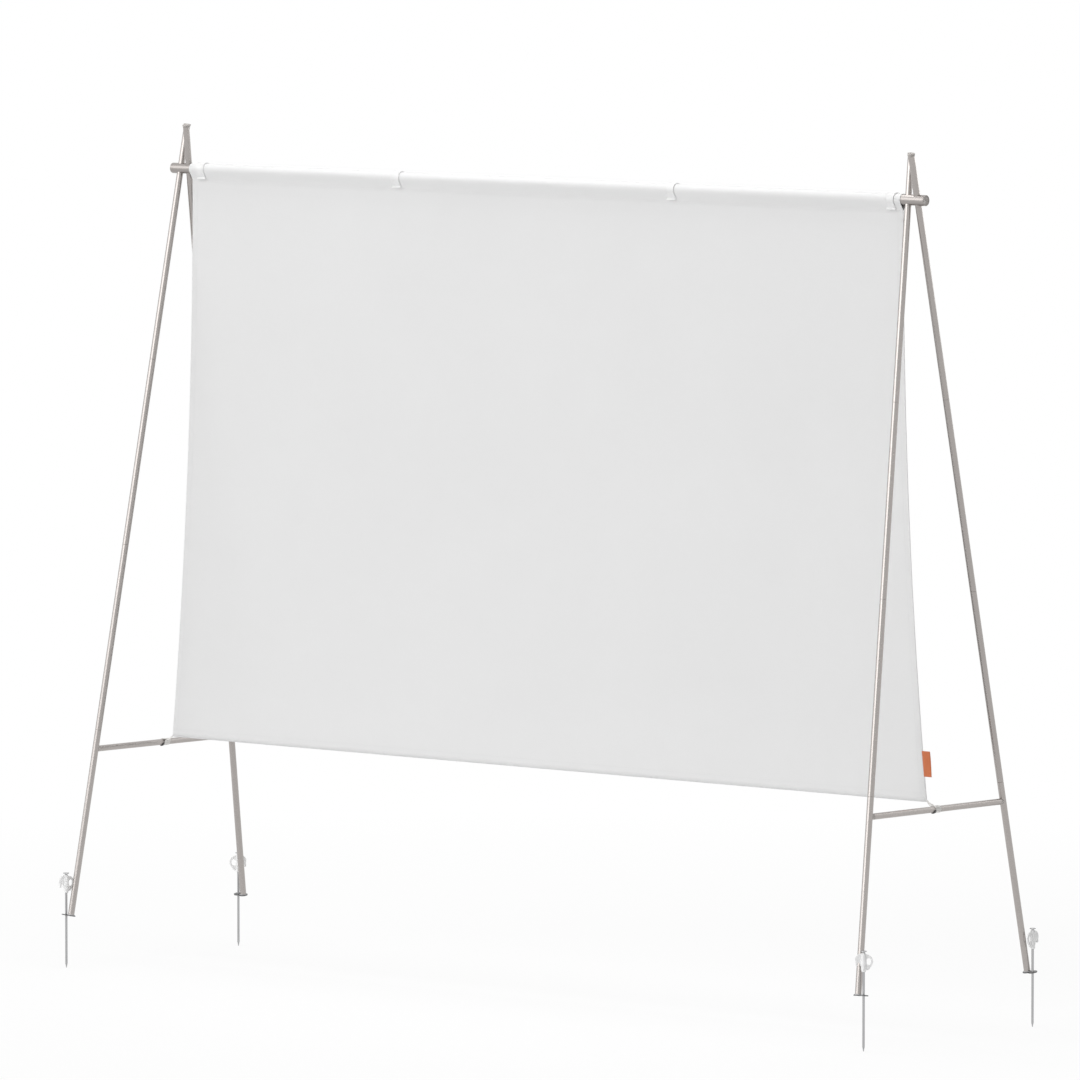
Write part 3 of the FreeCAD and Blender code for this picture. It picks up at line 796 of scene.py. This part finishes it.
def stitch(start, end, facing, radius):
    """One short thread: a slim closed form that lies on the cloth, sunk in at both tips."""
    sides, sunk, raised = 6, 0.4, 0.55
    beside = (end - start).normalized().cross(facing).normalized()
    points = [start - facing * radius * sunk]
    for share, girth in ((0.2, 0.85), (0.5, 1.0), (0.8, 0.85)):
        centre = start.lerp(end, share) + facing * radius * raised * girth
        points += [centre + (beside * math.cos(angle) + facing * math.sin(angle)) * radius * girth
                   for angle in turn_steps(sides)]
    points.append(end - facing * radius * sunk)
    last = len(points) - 1
    faces = [(0, 1 + (k + 1) % sides, 1 + k) for k in range(sides)]
    faces += shifted(grid_faces(3, sides, close_columns=True), 1)
    faces += [(last - sides + k, last - sides + (k + 1) % sides, last) for k in range(sides)]
    return points, faces


def stitch_row(sizes, place_at, count, facing):
    """A row of stitches at places that are numbered from 0."""
    length = sizes.stitch_length / sizes.stitch_pitch
    return join_parts(*[stitch(place_at(k), place_at(k + length), facing, sizes.stitch_radius)
                        for k in range(count)])


def stitching(sizes):
    """On each face a row down both side hems and one along the lower hem, then two rows at the seam."""
    half, lift = sizes.thickness / 2, sizes.thickness * HEM_LIFT
    hem_half = half * HEM_SHARE
    side_count = int(sizes.drop / sizes.stitch_pitch) - 4
    hem_count = int(2 * (sizes.corner_half_width - STITCH_MARGIN) / sizes.stitch_pitch)
    seam_count = int(2 * (sizes.top_half_width - SEAM_MARGIN) / sizes.stitch_pitch)
    hem_share = 1 - (sizes.hem_width * LOWER_HEM - STITCH_INSET) / sizes.drop

    def down_side(k, end, offset):
        """A place down a side hem, a little below the seam at first."""
        share = min(1.0, k * sizes.stitch_pitch / sizes.drop + 0.002)
        across = 1 - (sizes.hem_width - STITCH_INSET) / cloth_half_width(sizes, share)
        return panel_point(sizes, end * across, share, offset)

    def along(k, half_width, start, share, offset):
        """A place along the lower hem or the seam, from the left."""
        across = min(1.0, -1 + (k * sizes.stitch_pitch + start) / half_width)
        return panel_point(sizes, across, share, offset)

    rows = []
    for facing, side_offset, hem_offset in ((-Y_AXIS, -half, -half),
                                            (Y_AXIS, lift + hem_half, lift * LOWER_LIFT + hem_half)):
        for end in ENDS.values():
            place = partial(down_side, end=end, offset=side_offset)
            rows.append(stitch_row(sizes, place, side_count, facing))
        place = partial(along, half_width=sizes.corner_half_width, start=0.006, share=hem_share,
                        offset=hem_offset)
        rows.append(stitch_row(sizes, place, hem_count, facing))
    for share in SEAM_ROWS:
        for facing, offset in ((-Y_AXIS, -half), (Y_AXIS, sizes.thickness * 1.5)):
            place = partial(along, half_width=sizes.top_half_width, start=0.005, share=share, offset=offset)
            rows.append(stitch_row(sizes, place, seam_count, facing))
    return join_parts(*rows)


class SCREEN_OT_cloth(bpy.types.Operator):
    """Hang the cloth from the tube, with its sleeve, hems and stitching"""
    bl_idname = "screen.cloth"
    bl_label = "Screen cloth"

    def execute(self, context):
        sizes = context.scene.cloth_sizes
        cloth = build("hung_cloth", screen_cloth(sizes), "cloth", 60.0, "frame", "white_cloth",
                      "screen_cloth", thickness=sizes.thickness)
        hem = build("cloth_hems", hems(sizes), "cloth", 60.0, "frame", "white_cloth",
                    thickness=sizes.thickness * HEM_SHARE)
        stitches = build("cloth_stitching", stitching(sizes), "thread", 80.0, "frame", "white_cloth")
        return {"FINISHED"}


# The clips

CLIP_FLARE = math.radians(45)
CLIP_OVERLAP = 0.00005      # how far the raised bands stand out past a clip's ends


def clip_path(sizes, with_lip):
    """Half of a clip's inner line as points with outward directions, from the top down."""
    cloth = bpy.context.scene.cloth_sizes
    sleeve_r = TUBE_R + cloth.tube_gap + cloth.thickness
    lean = math.asin(sleeve_r / cloth.sleeve_drop)
    leg_y, leg_z = math.sin(lean), math.cos(lean)
    arch_r, knee_r = sleeve_r + sizes.clip_gap, sizes.clip_knee
    path = [((arch_r * a, arch_r * b), (a, b)) for a, b in arc_points((0, 0), 1, math.pi / 2, -lean, 18)]
    (y, z), leg_out = path[-1]
    trim = knee_r * math.tan((lean + CLIP_FLARE) / 2)
    straight = sizes.clip_leg - trim
    last = (y - leg_y * straight, z - leg_z * straight)
    path += [(point, leg_out) for point in points_between((y, z), last) + [last]]
    if not with_lip:
        return path
    centre = (last[0] + leg_out[0] * knee_r, last[1] + leg_out[1] * knee_r)
    path += [((centre[0] - a * knee_r, centre[1] - b * knee_r), (a, b))
             for a, b in arc_points((0, 0), 1, -lean, CLIP_FLARE, 8)[1:]]
    (y, z), lip_out = path[-1]
    for share in (1 / 3, 2 / 3, 1):
        run = (sizes.clip_lip - trim) * share
        path.append(((y + math.sin(CLIP_FLARE) * run, z - math.cos(CLIP_FLARE) * run), lip_out))
    return path


def clip_outline(sizes, low, high, with_lip=True):
    """A closed outline of (y, z) between two distances outside the clip's inner line."""
    half = clip_path(sizes, with_lip)
    whole = [((-y, z), (-a, b)) for (y, z), (a, b) in reversed(half[1:])] + half
    inside = [(y + a * low, z + b * low) for (y, z), (a, b) in whole]
    outside = [(y + a * high, z + b * high) for (y, z), (a, b) in reversed(whole)]
    return inside + outside


class SCREEN_OT_clips(bpy.types.Operator):
    """Mould the four spring clips that grip the sleeve"""
    bl_idname = "screen.clips"
    bl_label = "Clips"

    def execute(self, context):
        sizes = context.scene.fitting_sizes
        wall, width = sizes.clip_thickness, sizes.clip_width
        body = clip_outline(sizes, 0, wall)
        band = clip_outline(sizes, wall / 2, wall + sizes.bead_rise, with_lip=False)
        band_width = sizes.bead_width + 2 * CLIP_OVERLAP
        for name, middle in zip(CLIPS, CLIP_PLACES):
            base = Vector((middle - width / 2, 0, TUBE_Z))
            parts = [extruded(body, base, X_AXIS, Y_AXIS, width)]
            for start in (0, width - sizes.bead_width):
                start_point = base + X_AXIS * (start - CLIP_OVERLAP)
                parts.append(extruded(band, start_point, X_AXIS, Y_AXIS, band_width))
            clip = build("moulded_" + name, join_parts(*parts), "clip", 40.0, "sleeve_" + name,
                         "white_plastic", name)
            bevelled(clip, 0.0006)
        return {"FINISHED"}


# The pegs and the feet

EYE_ANGLES = {("left", "front"): 73, ("left", "rear"): 220, ("right", "front"): 40, ("right", "rear"): 270}
# The core round the nail: outline as (radius, height) in millimetres
CORE_LINE = ((5.6, 0.2), (5.75, 2.5), (6.6, 10), (7.5, 18), (7.6, 24), (7.2, 33), (6.5, 43), (5.4, 47),
             (4.6, 48))
CORE_LOW, CORE_HIGH = CORE_LINE[0][1] * MM, CORE_LINE[-1][1] * MM
EYE_CENTRE = (0.0060, 0.0270)
GUSSET = ((0.0, 0.002), (0.013, 0.0055), (0.0205, 0.0165), (0.0, EYE_CENTRE[1]))
HOOK_CENTRE = (-0.0063, 0.0310)
HOOK_SLOT_INSET = 0.006     # from the middle of the hook's lobe out to the middle of its slot
HOOK_SLOT_TOP = 0.024
PRONG_R, PRONG_HEIGHT = 0.0027, 0.0168


def exit_distance(inside, centre, angle, reach):
    """How far from a centre a direction last leaves a flat shape, within a reach."""
    def holds(run):
        """Whether the place at that distance lies in the shape."""
        return inside(centre[0] + math.cos(angle) * run, centre[1] + math.sin(angle) * run)

    steps, halvings = 120, 18
    step, run = reach / steps, reach
    while run > 0 and not holds(run):
        run -= step
    low, high = run, run + step
    for _ in range(halvings):
        middle = (low + high) / 2
        low, high = (middle, high) if holds(middle) else (low, middle)
    return low


def eye_ring(sizes):
    """The lobe round the eye with the gusset below it, as a closed ring round the slot."""
    centre = (sizes.eye_reach, EYE_CENTRE[1] - 0.001)

    def solid(s, z):
        """Whether a place lies in the lobe or in the gusset."""
        if math.hypot(s - EYE_CENTRE[0], z - EYE_CENTRE[1]) <= sizes.eye_radius:
            return True
        return all((b[0] - a[0]) * (z - a[1]) - (b[1] - a[1]) * (s - a[0]) >= 0
                   for a, b in zip(GUSSET, GUSSET[1:] + GUSSET[:1]))

    def slot(s, z):
        """Whether a place lies in the eye."""
        past_side = max(0.0, abs(z - centre[1]) - sizes.eye_straight / 2)
        return math.hypot(s - centre[0], past_side) <= sizes.eye_half

    points = []
    angles = turn_steps(96)
    for angle in angles:
        outer = exit_distance(solid, centre, angle, 0.05)
        inner = exit_distance(slot, centre, angle, 0.012)
        for run, y in ((outer, -sizes.flange / 2), (inner, -sizes.flange / 2),
                       (inner, sizes.flange / 2), (outer, sizes.flange / 2)):
            points.append(Vector((centre[0] + math.cos(angle) * run, y, centre[1] + math.sin(angle) * run)))
    return points, grid_faces(len(angles), 4, close_rows=True, close_columns=True)


def hook_outline(sizes):
    """The hook's lobe, cut open from below by its slot, with the prong hanging outside the slot."""
    radius, slot = sizes.hook_radius, sizes.hook_slot
    slot_s = HOOK_CENTRE[0] - HOOK_SLOT_INSET
    outer = slot_s - slot - 2 * PRONG_R
    outer_angle = math.asin(math.sqrt(radius ** 2 - (outer - HOOK_CENTRE[0]) ** 2) / radius)
    inner_angle = math.asin((HOOK_CENTRE[0] - slot_s - slot) / radius)
    core_angle = math.asin(-HOOK_CENTRE[0] / radius)
    down = 1.5 * math.pi
    return [*arc_points(HOOK_CENTRE, radius, math.pi / 2 - core_angle, math.pi + outer_angle, 24),
            *arc_points((outer + PRONG_R, PRONG_HEIGHT), PRONG_R, math.pi, 2 * math.pi, 12),
            *arc_points((slot_s, HOOK_SLOT_TOP - slot), slot, math.pi, 0, 12),
            *arc_points(HOOK_CENTRE, radius, down - inner_angle, down + core_angle, 8)]


def peg_head(sizes):
    """A peg head that stands on the origin, with its eye towards +X and its hook towards -X."""
    core = [(radius * MM, height * MM) for radius, height in CORE_LINE]
    core = [(sizes.bore, CORE_LOW), *core, (sizes.bore, CORE_HIGH)]
    hook = extruded(hook_outline(sizes), Y_AXIS * (-sizes.flange / 2), Y_AXIS, X_AXIS, sizes.flange)
    return join_parts(turned(core, Vector(), Z_AXIS), eye_ring(sizes), hook)


def weld_bead(radius, foot, up):
    """A rippled bead round a pole's foot."""
    rows, ring = 132, 10
    ripples, ripple, unevenness = 33, 0.13, 0.12
    out_share, up_share, flatness = 0.15, 0.12, 0.9
    beside, across = frame_of(up)
    points = []
    for angle in turn_steps(rows):
        out = beside * math.cos(angle) + across * math.sin(angle)
        girth = radius * (1 + ripple * math.sin(angle * ripples)
                          + unevenness * noise.noise(out * 4 + foot * 20))
        centre = foot + out * (POLE_R + radius * out_share) + up * radius * up_share
        points += [centre + (out * math.cos(turn) + up * math.sin(turn) * flatness) * girth
                   for turn in turn_steps(ring)]
    return points, grid_faces(rows, ring, close_rows=True, close_columns=True)


class SCREEN_OT_pegs(bpy.types.Operator):
    """Mould the four peg heads with their eye and hook, and weld the poles to their foot plates"""
    bl_idname = "screen.pegs"
    bl_label = "Pegs and feet"

    def execute(self, context):
        sizes = context.scene.head_sizes
        weld_radius = context.scene.fitting_sizes.weld_radius
        straight_points, faces = peg_head(sizes)
        for end, side in LEGS:
            node = f"{end}_{side}_peg_head"
            base = peg_axis(end, side)
            base.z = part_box(node)[0].z
            turn = Matrix.Rotation(math.radians(EYE_ANGLES[(end, side)]), 4, "Z")
            points = [base + turn @ p for p in straight_points]
            head = build(f"moulded_{end}_{side}_head", (points, faces), "white", 30.0,
                         f"head_{end}_{side}", "white_plastic", node)
            cells = head.modifiers.new("one moulding", "REMESH")
            cells.mode = "VOXEL"
            cells.voxel_size = sizes.grain
            cells.use_smooth_shade = True
            soft = head.modifiers.new("moulded fillets", "SMOOTH")
            soft.factor = 0.5
            soft.iterations = 8
            bead = weld_bead(weld_radius, leg_foot(end, side), leg_up(end, side))
            build(f"weld_{end}_{side}", bead, "weld", 80.0, "frame", "plate_steel")
        return {"FINISHED"}


# The straps, the keepers and the tag

STRAP_PLACES = [k / 8 - 0.5 for k in range(9)]      # places across the webbing, as shares of its width
LOOP_HALF_GAP = 0.0006      # half the space between the two ends of a strap's loop
STRAP_SAG = 0.003
STRAP_SEWN = 0.006, 0.008   # how far in from the corner and up the webbing is sewn to the cloth
STRAP_TWIST = 0.35          # under 1 the webbing turns early on its way to the corner
PLEAT = 0.0005              # depth of the pleats where the webbing is gathered
KEEPER_MIDDLE, KEEPER_SWING = math.radians(25), math.radians(62)
KEEPER_TIP_WIDTH, KEEPER_TIP_THICKNESS = 0.45, 0.2      # as shares of those in the middle
TAG_LINE = ((-0.004, 0.0), (0.004, 0.0), (0.012, 0.0), (0.020, 0.0))
TAG_FOLD_R = 0.0009
TAG_THICKNESS = 0.0004
TAG_WAVE = 0.0012


def strap_loop(sizes, centre, bar, toward):
    """Webbing over the far side of a crossbar, gathered where its two sides meet."""
    radius = BAR_R + STRAP_GAP + sizes.strap_thickness / 2
    reach = sizes.strap_reach
    lean = math.asin(radius / reach)
    round_bar = arc_points((0, 0), radius, -lean, math.pi + lean, 30)
    start = (LOOP_HALF_GAP, -reach)
    side = [start, *points_between(start, round_bar[0])]
    line = [*side, *round_bar, *[(-s, height) for s, height in reversed(side)]]
    beside = bar.cross(toward)
    points = []
    for s, height in line:
        gather = max(0.0, (-height - radius) / (reach - radius)) ** 3
        width = sizes.strap_width * (1 - gather) + sizes.strap_neck * gather
        points += [centre + beside * s - toward * height + bar * place * width for place in STRAP_PLACES]
    return points, grid_faces(len(line), len(STRAP_PLACES))


def strap_neck(sizes, bar, apex, attach, end):
    """Webbing from the loop to the cloth's corner. It turns from the bar's direction to the cloth's."""
    rows = 26
    at_corner = Vector((end * -0.55, 0.05, 0.84))
    run = (attach - apex).normalized()
    points = []
    for share in [k / rows for k in range(rows + 1)]:
        bow = math.sin(math.pi * share)
        spot = apex.lerp(attach, share) - Z_AXIS * STRAP_SAG * bow
        wide = bar.lerp(at_corner, share ** STRAP_TWIST).normalized()
        thick = wide.cross(run).normalized()
        points += [spot + wide * place * sizes.strap_neck
                   + thick * (math.sin(place * 4 * math.pi) * PLEAT * bow) for place in STRAP_PLACES]
    return points, grid_faces(rows + 1, len(STRAP_PLACES))


def keeper(sizes, centre, bar):
    """A dark saddle below a crossbar beside the strap, thick in the middle and thin at its two ends. It is a
    modelled piece whose dark colour paints the shade that lies there.
    """
    beside = bar.cross(Z_AXIS).normalized()
    down = beside.cross(bar).normalized()
    beside = -beside if beside.x < 0 else beside
    down = -down if down.z > 0 else down
    near = -sizes.strap_width / 2 - STRAP_GAP
    rows, ring = 33, 12
    points = []
    for swing in [2 * k / (rows - 1) - 1 for k in range(rows)]:
        angle = KEEPER_MIDDLE + KEEPER_SWING * swing
        out = beside * math.sin(angle) + down * math.cos(angle)
        body = math.sqrt(max(0.0, 1 - swing ** 4))
        half = sizes.keeper_width / 2 * (KEEPER_TIP_WIDTH + (1 - KEEPER_TIP_WIDTH) * body)
        thick = sizes.keeper_thickness / 2 * (KEEPER_TIP_THICKNESS + (1 - KEEPER_TIP_THICKNESS) * body)
        middle = BAR_R + STRAP_GAP + thick
        for turn in turn_steps(ring):
            wide, high = (math.copysign(abs(part) ** 0.5, part) for part in (math.cos(turn), math.sin(turn)))
            points.append(centre + bar * (near - half + wide * half) + out * (middle + high * thick))
    faces = grid_faces(rows, ring, close_columns=True)
    faces += [tuple(range(ring)), tuple(reversed(range((rows - 1) * ring, rows * ring)))]
    return points, faces


def folded_tag(sizes, cloth):
    """A folded label: two layers joined by a round fold at the outer edge, sewn in at the inner one."""
    rows = 24
    fold = arc_points((sizes.tag_width - TAG_FOLD_R, -TAG_FOLD_R), TAG_FOLD_R, math.pi / 2, -math.pi / 2, 8)
    line = [*TAG_LINE, *fold, *[(x, -2 * TAG_FOLD_R) for x, _ in reversed(TAG_LINE)]]
    points = []
    for part in [k / rows for k in range(rows + 1)]:
        edge = panel_point(cloth, 1.0, (sizes.tag_drop + sizes.tag_height * part) / cloth.drop)
        wave = TAG_WAVE * math.sin(3.1 * part + 0.6)
        for x, y in line:
            lean = max(0.0, x) / sizes.tag_width
            points.append(edge + Vector((x, y + TAG_FOLD_R + wave * lean ** 2, 0)))
    return points, grid_faces(rows + 1, len(line))


class SCREEN_OT_straps(bpy.types.Operator):
    """Tie the lower corners to the crossbars with webbing, and sew in the side tag"""
    bl_idname = "screen.straps"
    bl_label = "Straps and tag"

    def execute(self, context):
        sizes, cloth = context.scene.fitting_sizes, context.scene.cloth_sizes
        keepers = []
        for end_name, end in ENDS.items():
            centre, bar = strap_place(sizes, end_name)
            inward, upward = STRAP_SEWN
            attach = panel_point(cloth, end, 1.0) + Vector((-end * inward, cloth.thickness, upward))
            toward = attach - centre
            toward = (toward - bar * toward.dot(bar)).normalized()
            apex = centre + toward * sizes.strap_reach
            shape = join_parts(strap_loop(sizes, centre, bar, toward),
                               strap_neck(sizes, bar, apex, attach, end))
            strap = build(f"webbing_{end_name}", shape, "webbing", 60.0, "frame", "white_webbing",
                          f"{end_name}_tie_strap", thickness=sizes.strap_thickness)
            bevelled(strap, 0.0003, segments=2, angle=50.0)
            keepers.append(keeper(sizes, centre, bar))
        # The keepers are dark to paint the shade beside the straps.
        build("moulded_keepers", join_parts(*keepers), "keeper", 70.0, "frame", "dark_plastic",
              "strap_keepers")
        build("folded_tag", folded_tag(sizes, cloth), "tag", 60.0, "frame", "orange_tag", "side_tag",
              thickness=TAG_THICKNESS)
        return {"FINISHED"}


# The caps and the plugs, as outlines of (radius, height) in millimetres. A plug's height runs inward.

CAP_LINE = ((0.5, -12), (4.7, -12), (4.7, 0.05), (8.5, 0.05), (8.7, 1.2), (9.1, 2.5), (9.5, 3.8), (9.8, 5),
            (9.8, 5.8), (9.5, 6.5), (8.8, 6.9), (7.8, 7), (6.6, 6.7), (0.5, 6.5))
PLUG_LINE = ((0.6, -0.2), (1.2, 0.6), (1.4, 0.1), (10, 0.1), (10.4, -0.3), (12, -0.3), (12.4, 0.1),
             (12.4, 13.8), (0.6, 13.8))
PLUG_STAND = 0.0004         # how far a plug's face lies inside the end of its box


def rounded_profile(corners, cut):
    """An outline given in millimetres, with each corner cut to two points that lie off it."""
    corners = [Vector(corner) * MM for corner in corners]
    result = []
    for k, here in enumerate(corners):
        for other in (corners[k - 1], corners[(k + 1) % len(corners)]):
            run = other - here
            result.append(tuple(here + run.normalized() * min(cut, run.length * 0.45)))
    return result


class SCREEN_OT_ends(bpy.types.Operator):
    """Mould the caps on the stubs and the plugs in the tube's ends"""
    bl_idname = "screen.ends"
    bl_label = "Caps and plugs"

    def execute(self, context):
        cap_line = rounded_profile(CAP_LINE, 0.0004)
        for end, side in LEGS:
            shape = turned(cap_line, stub_top(end, side), leg_up(end, side), 56)
            build(f"moulded_{end}_{side}_cap", shape, "cap", 50.0, f"stub_{end}_{side}", "grey_plastic",
                  f"{end}_{side}_stub_cap")
        plug_line = rounded_profile(PLUG_LINE, 0.0002)
        parts = []
        for corner, inward in zip(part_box("top_tube_plugs"), (1, -1)):
            base = Vector((corner.x + inward * PLUG_STAND, 0, TUBE_Z))
            parts.append(turned(plug_line, base, X_AXIS * inward, 64))
        build("moulded_tube_plugs", join_parts(*parts), "cap", 50.0, "frame", "grey_plastic",
              "top_tube_plugs")
        return {"FINISHED"}


# The studio

FLOOR_REACH = 200.0
FLOOR_GAP = 0.0005
LAMP_TARGET = Vector((0, 0, 1.2))
# Each lamp: its name, where it stands from its target, how far, its width and height, and its watts
LAMPS = (("key lamp", (-0.12, -0.88, 0.44), 18.0, 12.0, 13.5, 1150.0),
         ("side lamp", (-0.64, -0.68, 0.36), 30.0, 16.0, 18.0, 1350.0),
         ("back fill", (0.2, 0.95, 0.3), 14.0, 7.0, 7.0, 400.0),
         ("top lamp", (0.0, -0.05, 1.0), 5.0, 4.0, 2.0, 130.0))


def seen_directly(tree):
    """1 for rays from the camera, mirrored rays and rays through glass, else 0. Then without the camera's."""
    path = tree.nodes.new("ShaderNodeLightPath")
    mirrored = math_node(tree, "MAXIMUM", path.outputs["Is Glossy Ray"], path.outputs["Is Transmission Ray"])
    return math_node(tree, "MAXIMUM", path.outputs["Is Camera Ray"], mirrored), mirrored


def white_over(tree, share, under, kind, output):
    """Put a share of plain white of that kind over a shader, and send both to the tree's output."""
    white = add_node(tree, kind, {"Color": (1, 1, 1, 1), "Strength": 1.0})
    both = add_node(tree, "ShaderNodeMixShader", {0: share, 1: under.outputs[0], 2: white})
    tree.links.new(both, tree.nodes[output].inputs["Surface"])


def floor_material(tone):
    """A pale floor that keeps the shadow near the screen and is seen as white further out."""
    material, tree, shader = new_material("pale studio floor", roughness=1.0, specular=0.0)
    place = object_place(tree)
    spots = noise_node(tree, place, 0.6)
    tree.links.new(mixed(tree, spots, shaded(tone, 0.995), tone), shader.inputs["Base Color"])
    away = add_node(tree, "ShaderNodeVectorMath", {0: place}, "Value", operation="LENGTH")
    seen, mirrored = seen_directly(tree)
    fade = math_node(tree, "MAXIMUM", ranged(tree, away, 1.6, 4.5, 0.88, 1.0), mirrored)
    white_over(tree, product(tree, fade, seen), shader, "ShaderNodeEmission", "Material Output")
    return material


def studio_world():
    """An even white light, a little stronger from the left front, that is seen as plain white."""
    world = bpy.data.worlds.new("studio light")
    world.use_nodes = True
    tree = world.node_tree
    background = tree.nodes["Background"]
    background.inputs["Color"].default_value = (1, 1, 1, 1)
    facing = dot_product(tree, add_node(tree, "ShaderNodeTexCoord", output="Generated"), (-0.8, -0.6, 0.0))
    tree.links.new(ranged(tree, facing, -1.0, 1.0, 0.34, 0.4), background.inputs["Strength"])
    white_over(tree, seen_directly(tree)[0], background, "ShaderNodeBackground", "World Output")
    return world


def place_looking(name, data, location, out):
    """An object that looks back along a direction, such as a lamp or a camera."""
    placed = bpy.data.objects.new(name, data)
    bpy.context.scene.collection.objects.link(placed)
    placed.location = location
    placed.rotation_mode = "QUATERNION"
    placed.rotation_quaternion = out.to_track_quat("Z", "Y")
    return placed


class SCREEN_OT_studio(bpy.types.Operator):
    """Set up the pale floor, the lamps and the camera"""
    bl_idname = "screen.studio"
    bl_label = "Studio"

    def execute(self, context):
        scene = context.scene
        scene.view_settings.view_transform = "Standard"
        scene.world = studio_world()

        corners = [Vector((x * FLOOR_REACH, y * FLOOR_REACH, CAD_BOX[0].z - FLOOR_GAP))
                   for x, y in ((-1, -1), (1, -1), (1, 1), (-1, 1))]
        floor_finish = floor_material(tuple(scene.screen_colours.floor))
        mesh_piece("studio_floor", (corners, [(0, 1, 2, 3)]), floor_finish)

        for name, direction, distance, width, height, watts in LAMPS:
            lamp = bpy.data.lights.new(name, "AREA")
            lamp.shape = "RECTANGLE"
            lamp.size, lamp.size_y = width, height
            lamp.energy = watts
            away = Vector(direction).normalized()
            place_looking(name, lamp, LAMP_TARGET + away * distance, away)

        view = scene.camera_place
        camera = bpy.data.cameras.new("photograph view")
        camera.sensor_width = 36.0
        camera.lens = view.lens
        camera.clip_start, camera.clip_end = 1.0, 400.0
        away = Vector((math.sin(view.azimuth) * math.cos(view.pitch),
                       -math.cos(view.azimuth) * math.cos(view.pitch), math.sin(view.pitch)))
        target = Vector((view.target_x, 0, view.target_z))
        scene.camera = place_looking("photograph view", camera, target + away * view.distance, away)
        return {"FINISHED"}


class SCREEN_PT_panel(bpy.types.Panel):
    """Buttons and sizes for the projection screen"""
    bl_idname = "SCREEN_PT_panel"
    bl_label = "Projection screen"
    bl_space_type = "VIEW_3D"
    bl_region_type = "UI"
    bl_category = "Screen"

    def draw(self, context):
        layout = self.layout
        for operator in OPERATORS:
            layout.operator(operator.bl_idname)
        for key in SETTINGS:
            settings = getattr(context.scene, key)
            box = layout.box()
            for name in settings.bl_rna.properties.keys():
                if name not in ("rna_type", "name"):
                    box.prop(settings, name, text=name.replace("_", " ").capitalize())


SETTINGS = {"cloth_sizes": ClothSizes, "fitting_sizes": FittingSizes, "head_sizes": HeadSizes,
            "screen_colours": ScreenColours, "camera_place": CameraPlace}
OPERATORS = (SCREEN_OT_steel, SCREEN_OT_cloth, SCREEN_OT_clips, SCREEN_OT_pegs, SCREEN_OT_straps,
             SCREEN_OT_ends, SCREEN_OT_studio)
CLASSES = (*SETTINGS.values(), *OPERATORS, SCREEN_PT_panel)


def register():
    for added in CLASSES:
        bpy.utils.register_class(added)
    for name, settings in SETTINGS.items():
        setattr(bpy.types.Scene, name, bpy.props.PointerProperty(type=settings))


def unregister():
    for name in SETTINGS:
        delattr(bpy.types.Scene, name)
    for added in reversed(CLASSES):
        bpy.utils.unregister_class(added)


def main():
    register()
    bpy.ops.screen.steel()
    bpy.ops.screen.cloth()
    bpy.ops.screen.clips()
    bpy.ops.screen.pegs()
    bpy.ops.screen.straps()
    bpy.ops.screen.ends()
    bpy.ops.screen.studio()


if __name__ == "__main__":
    main()
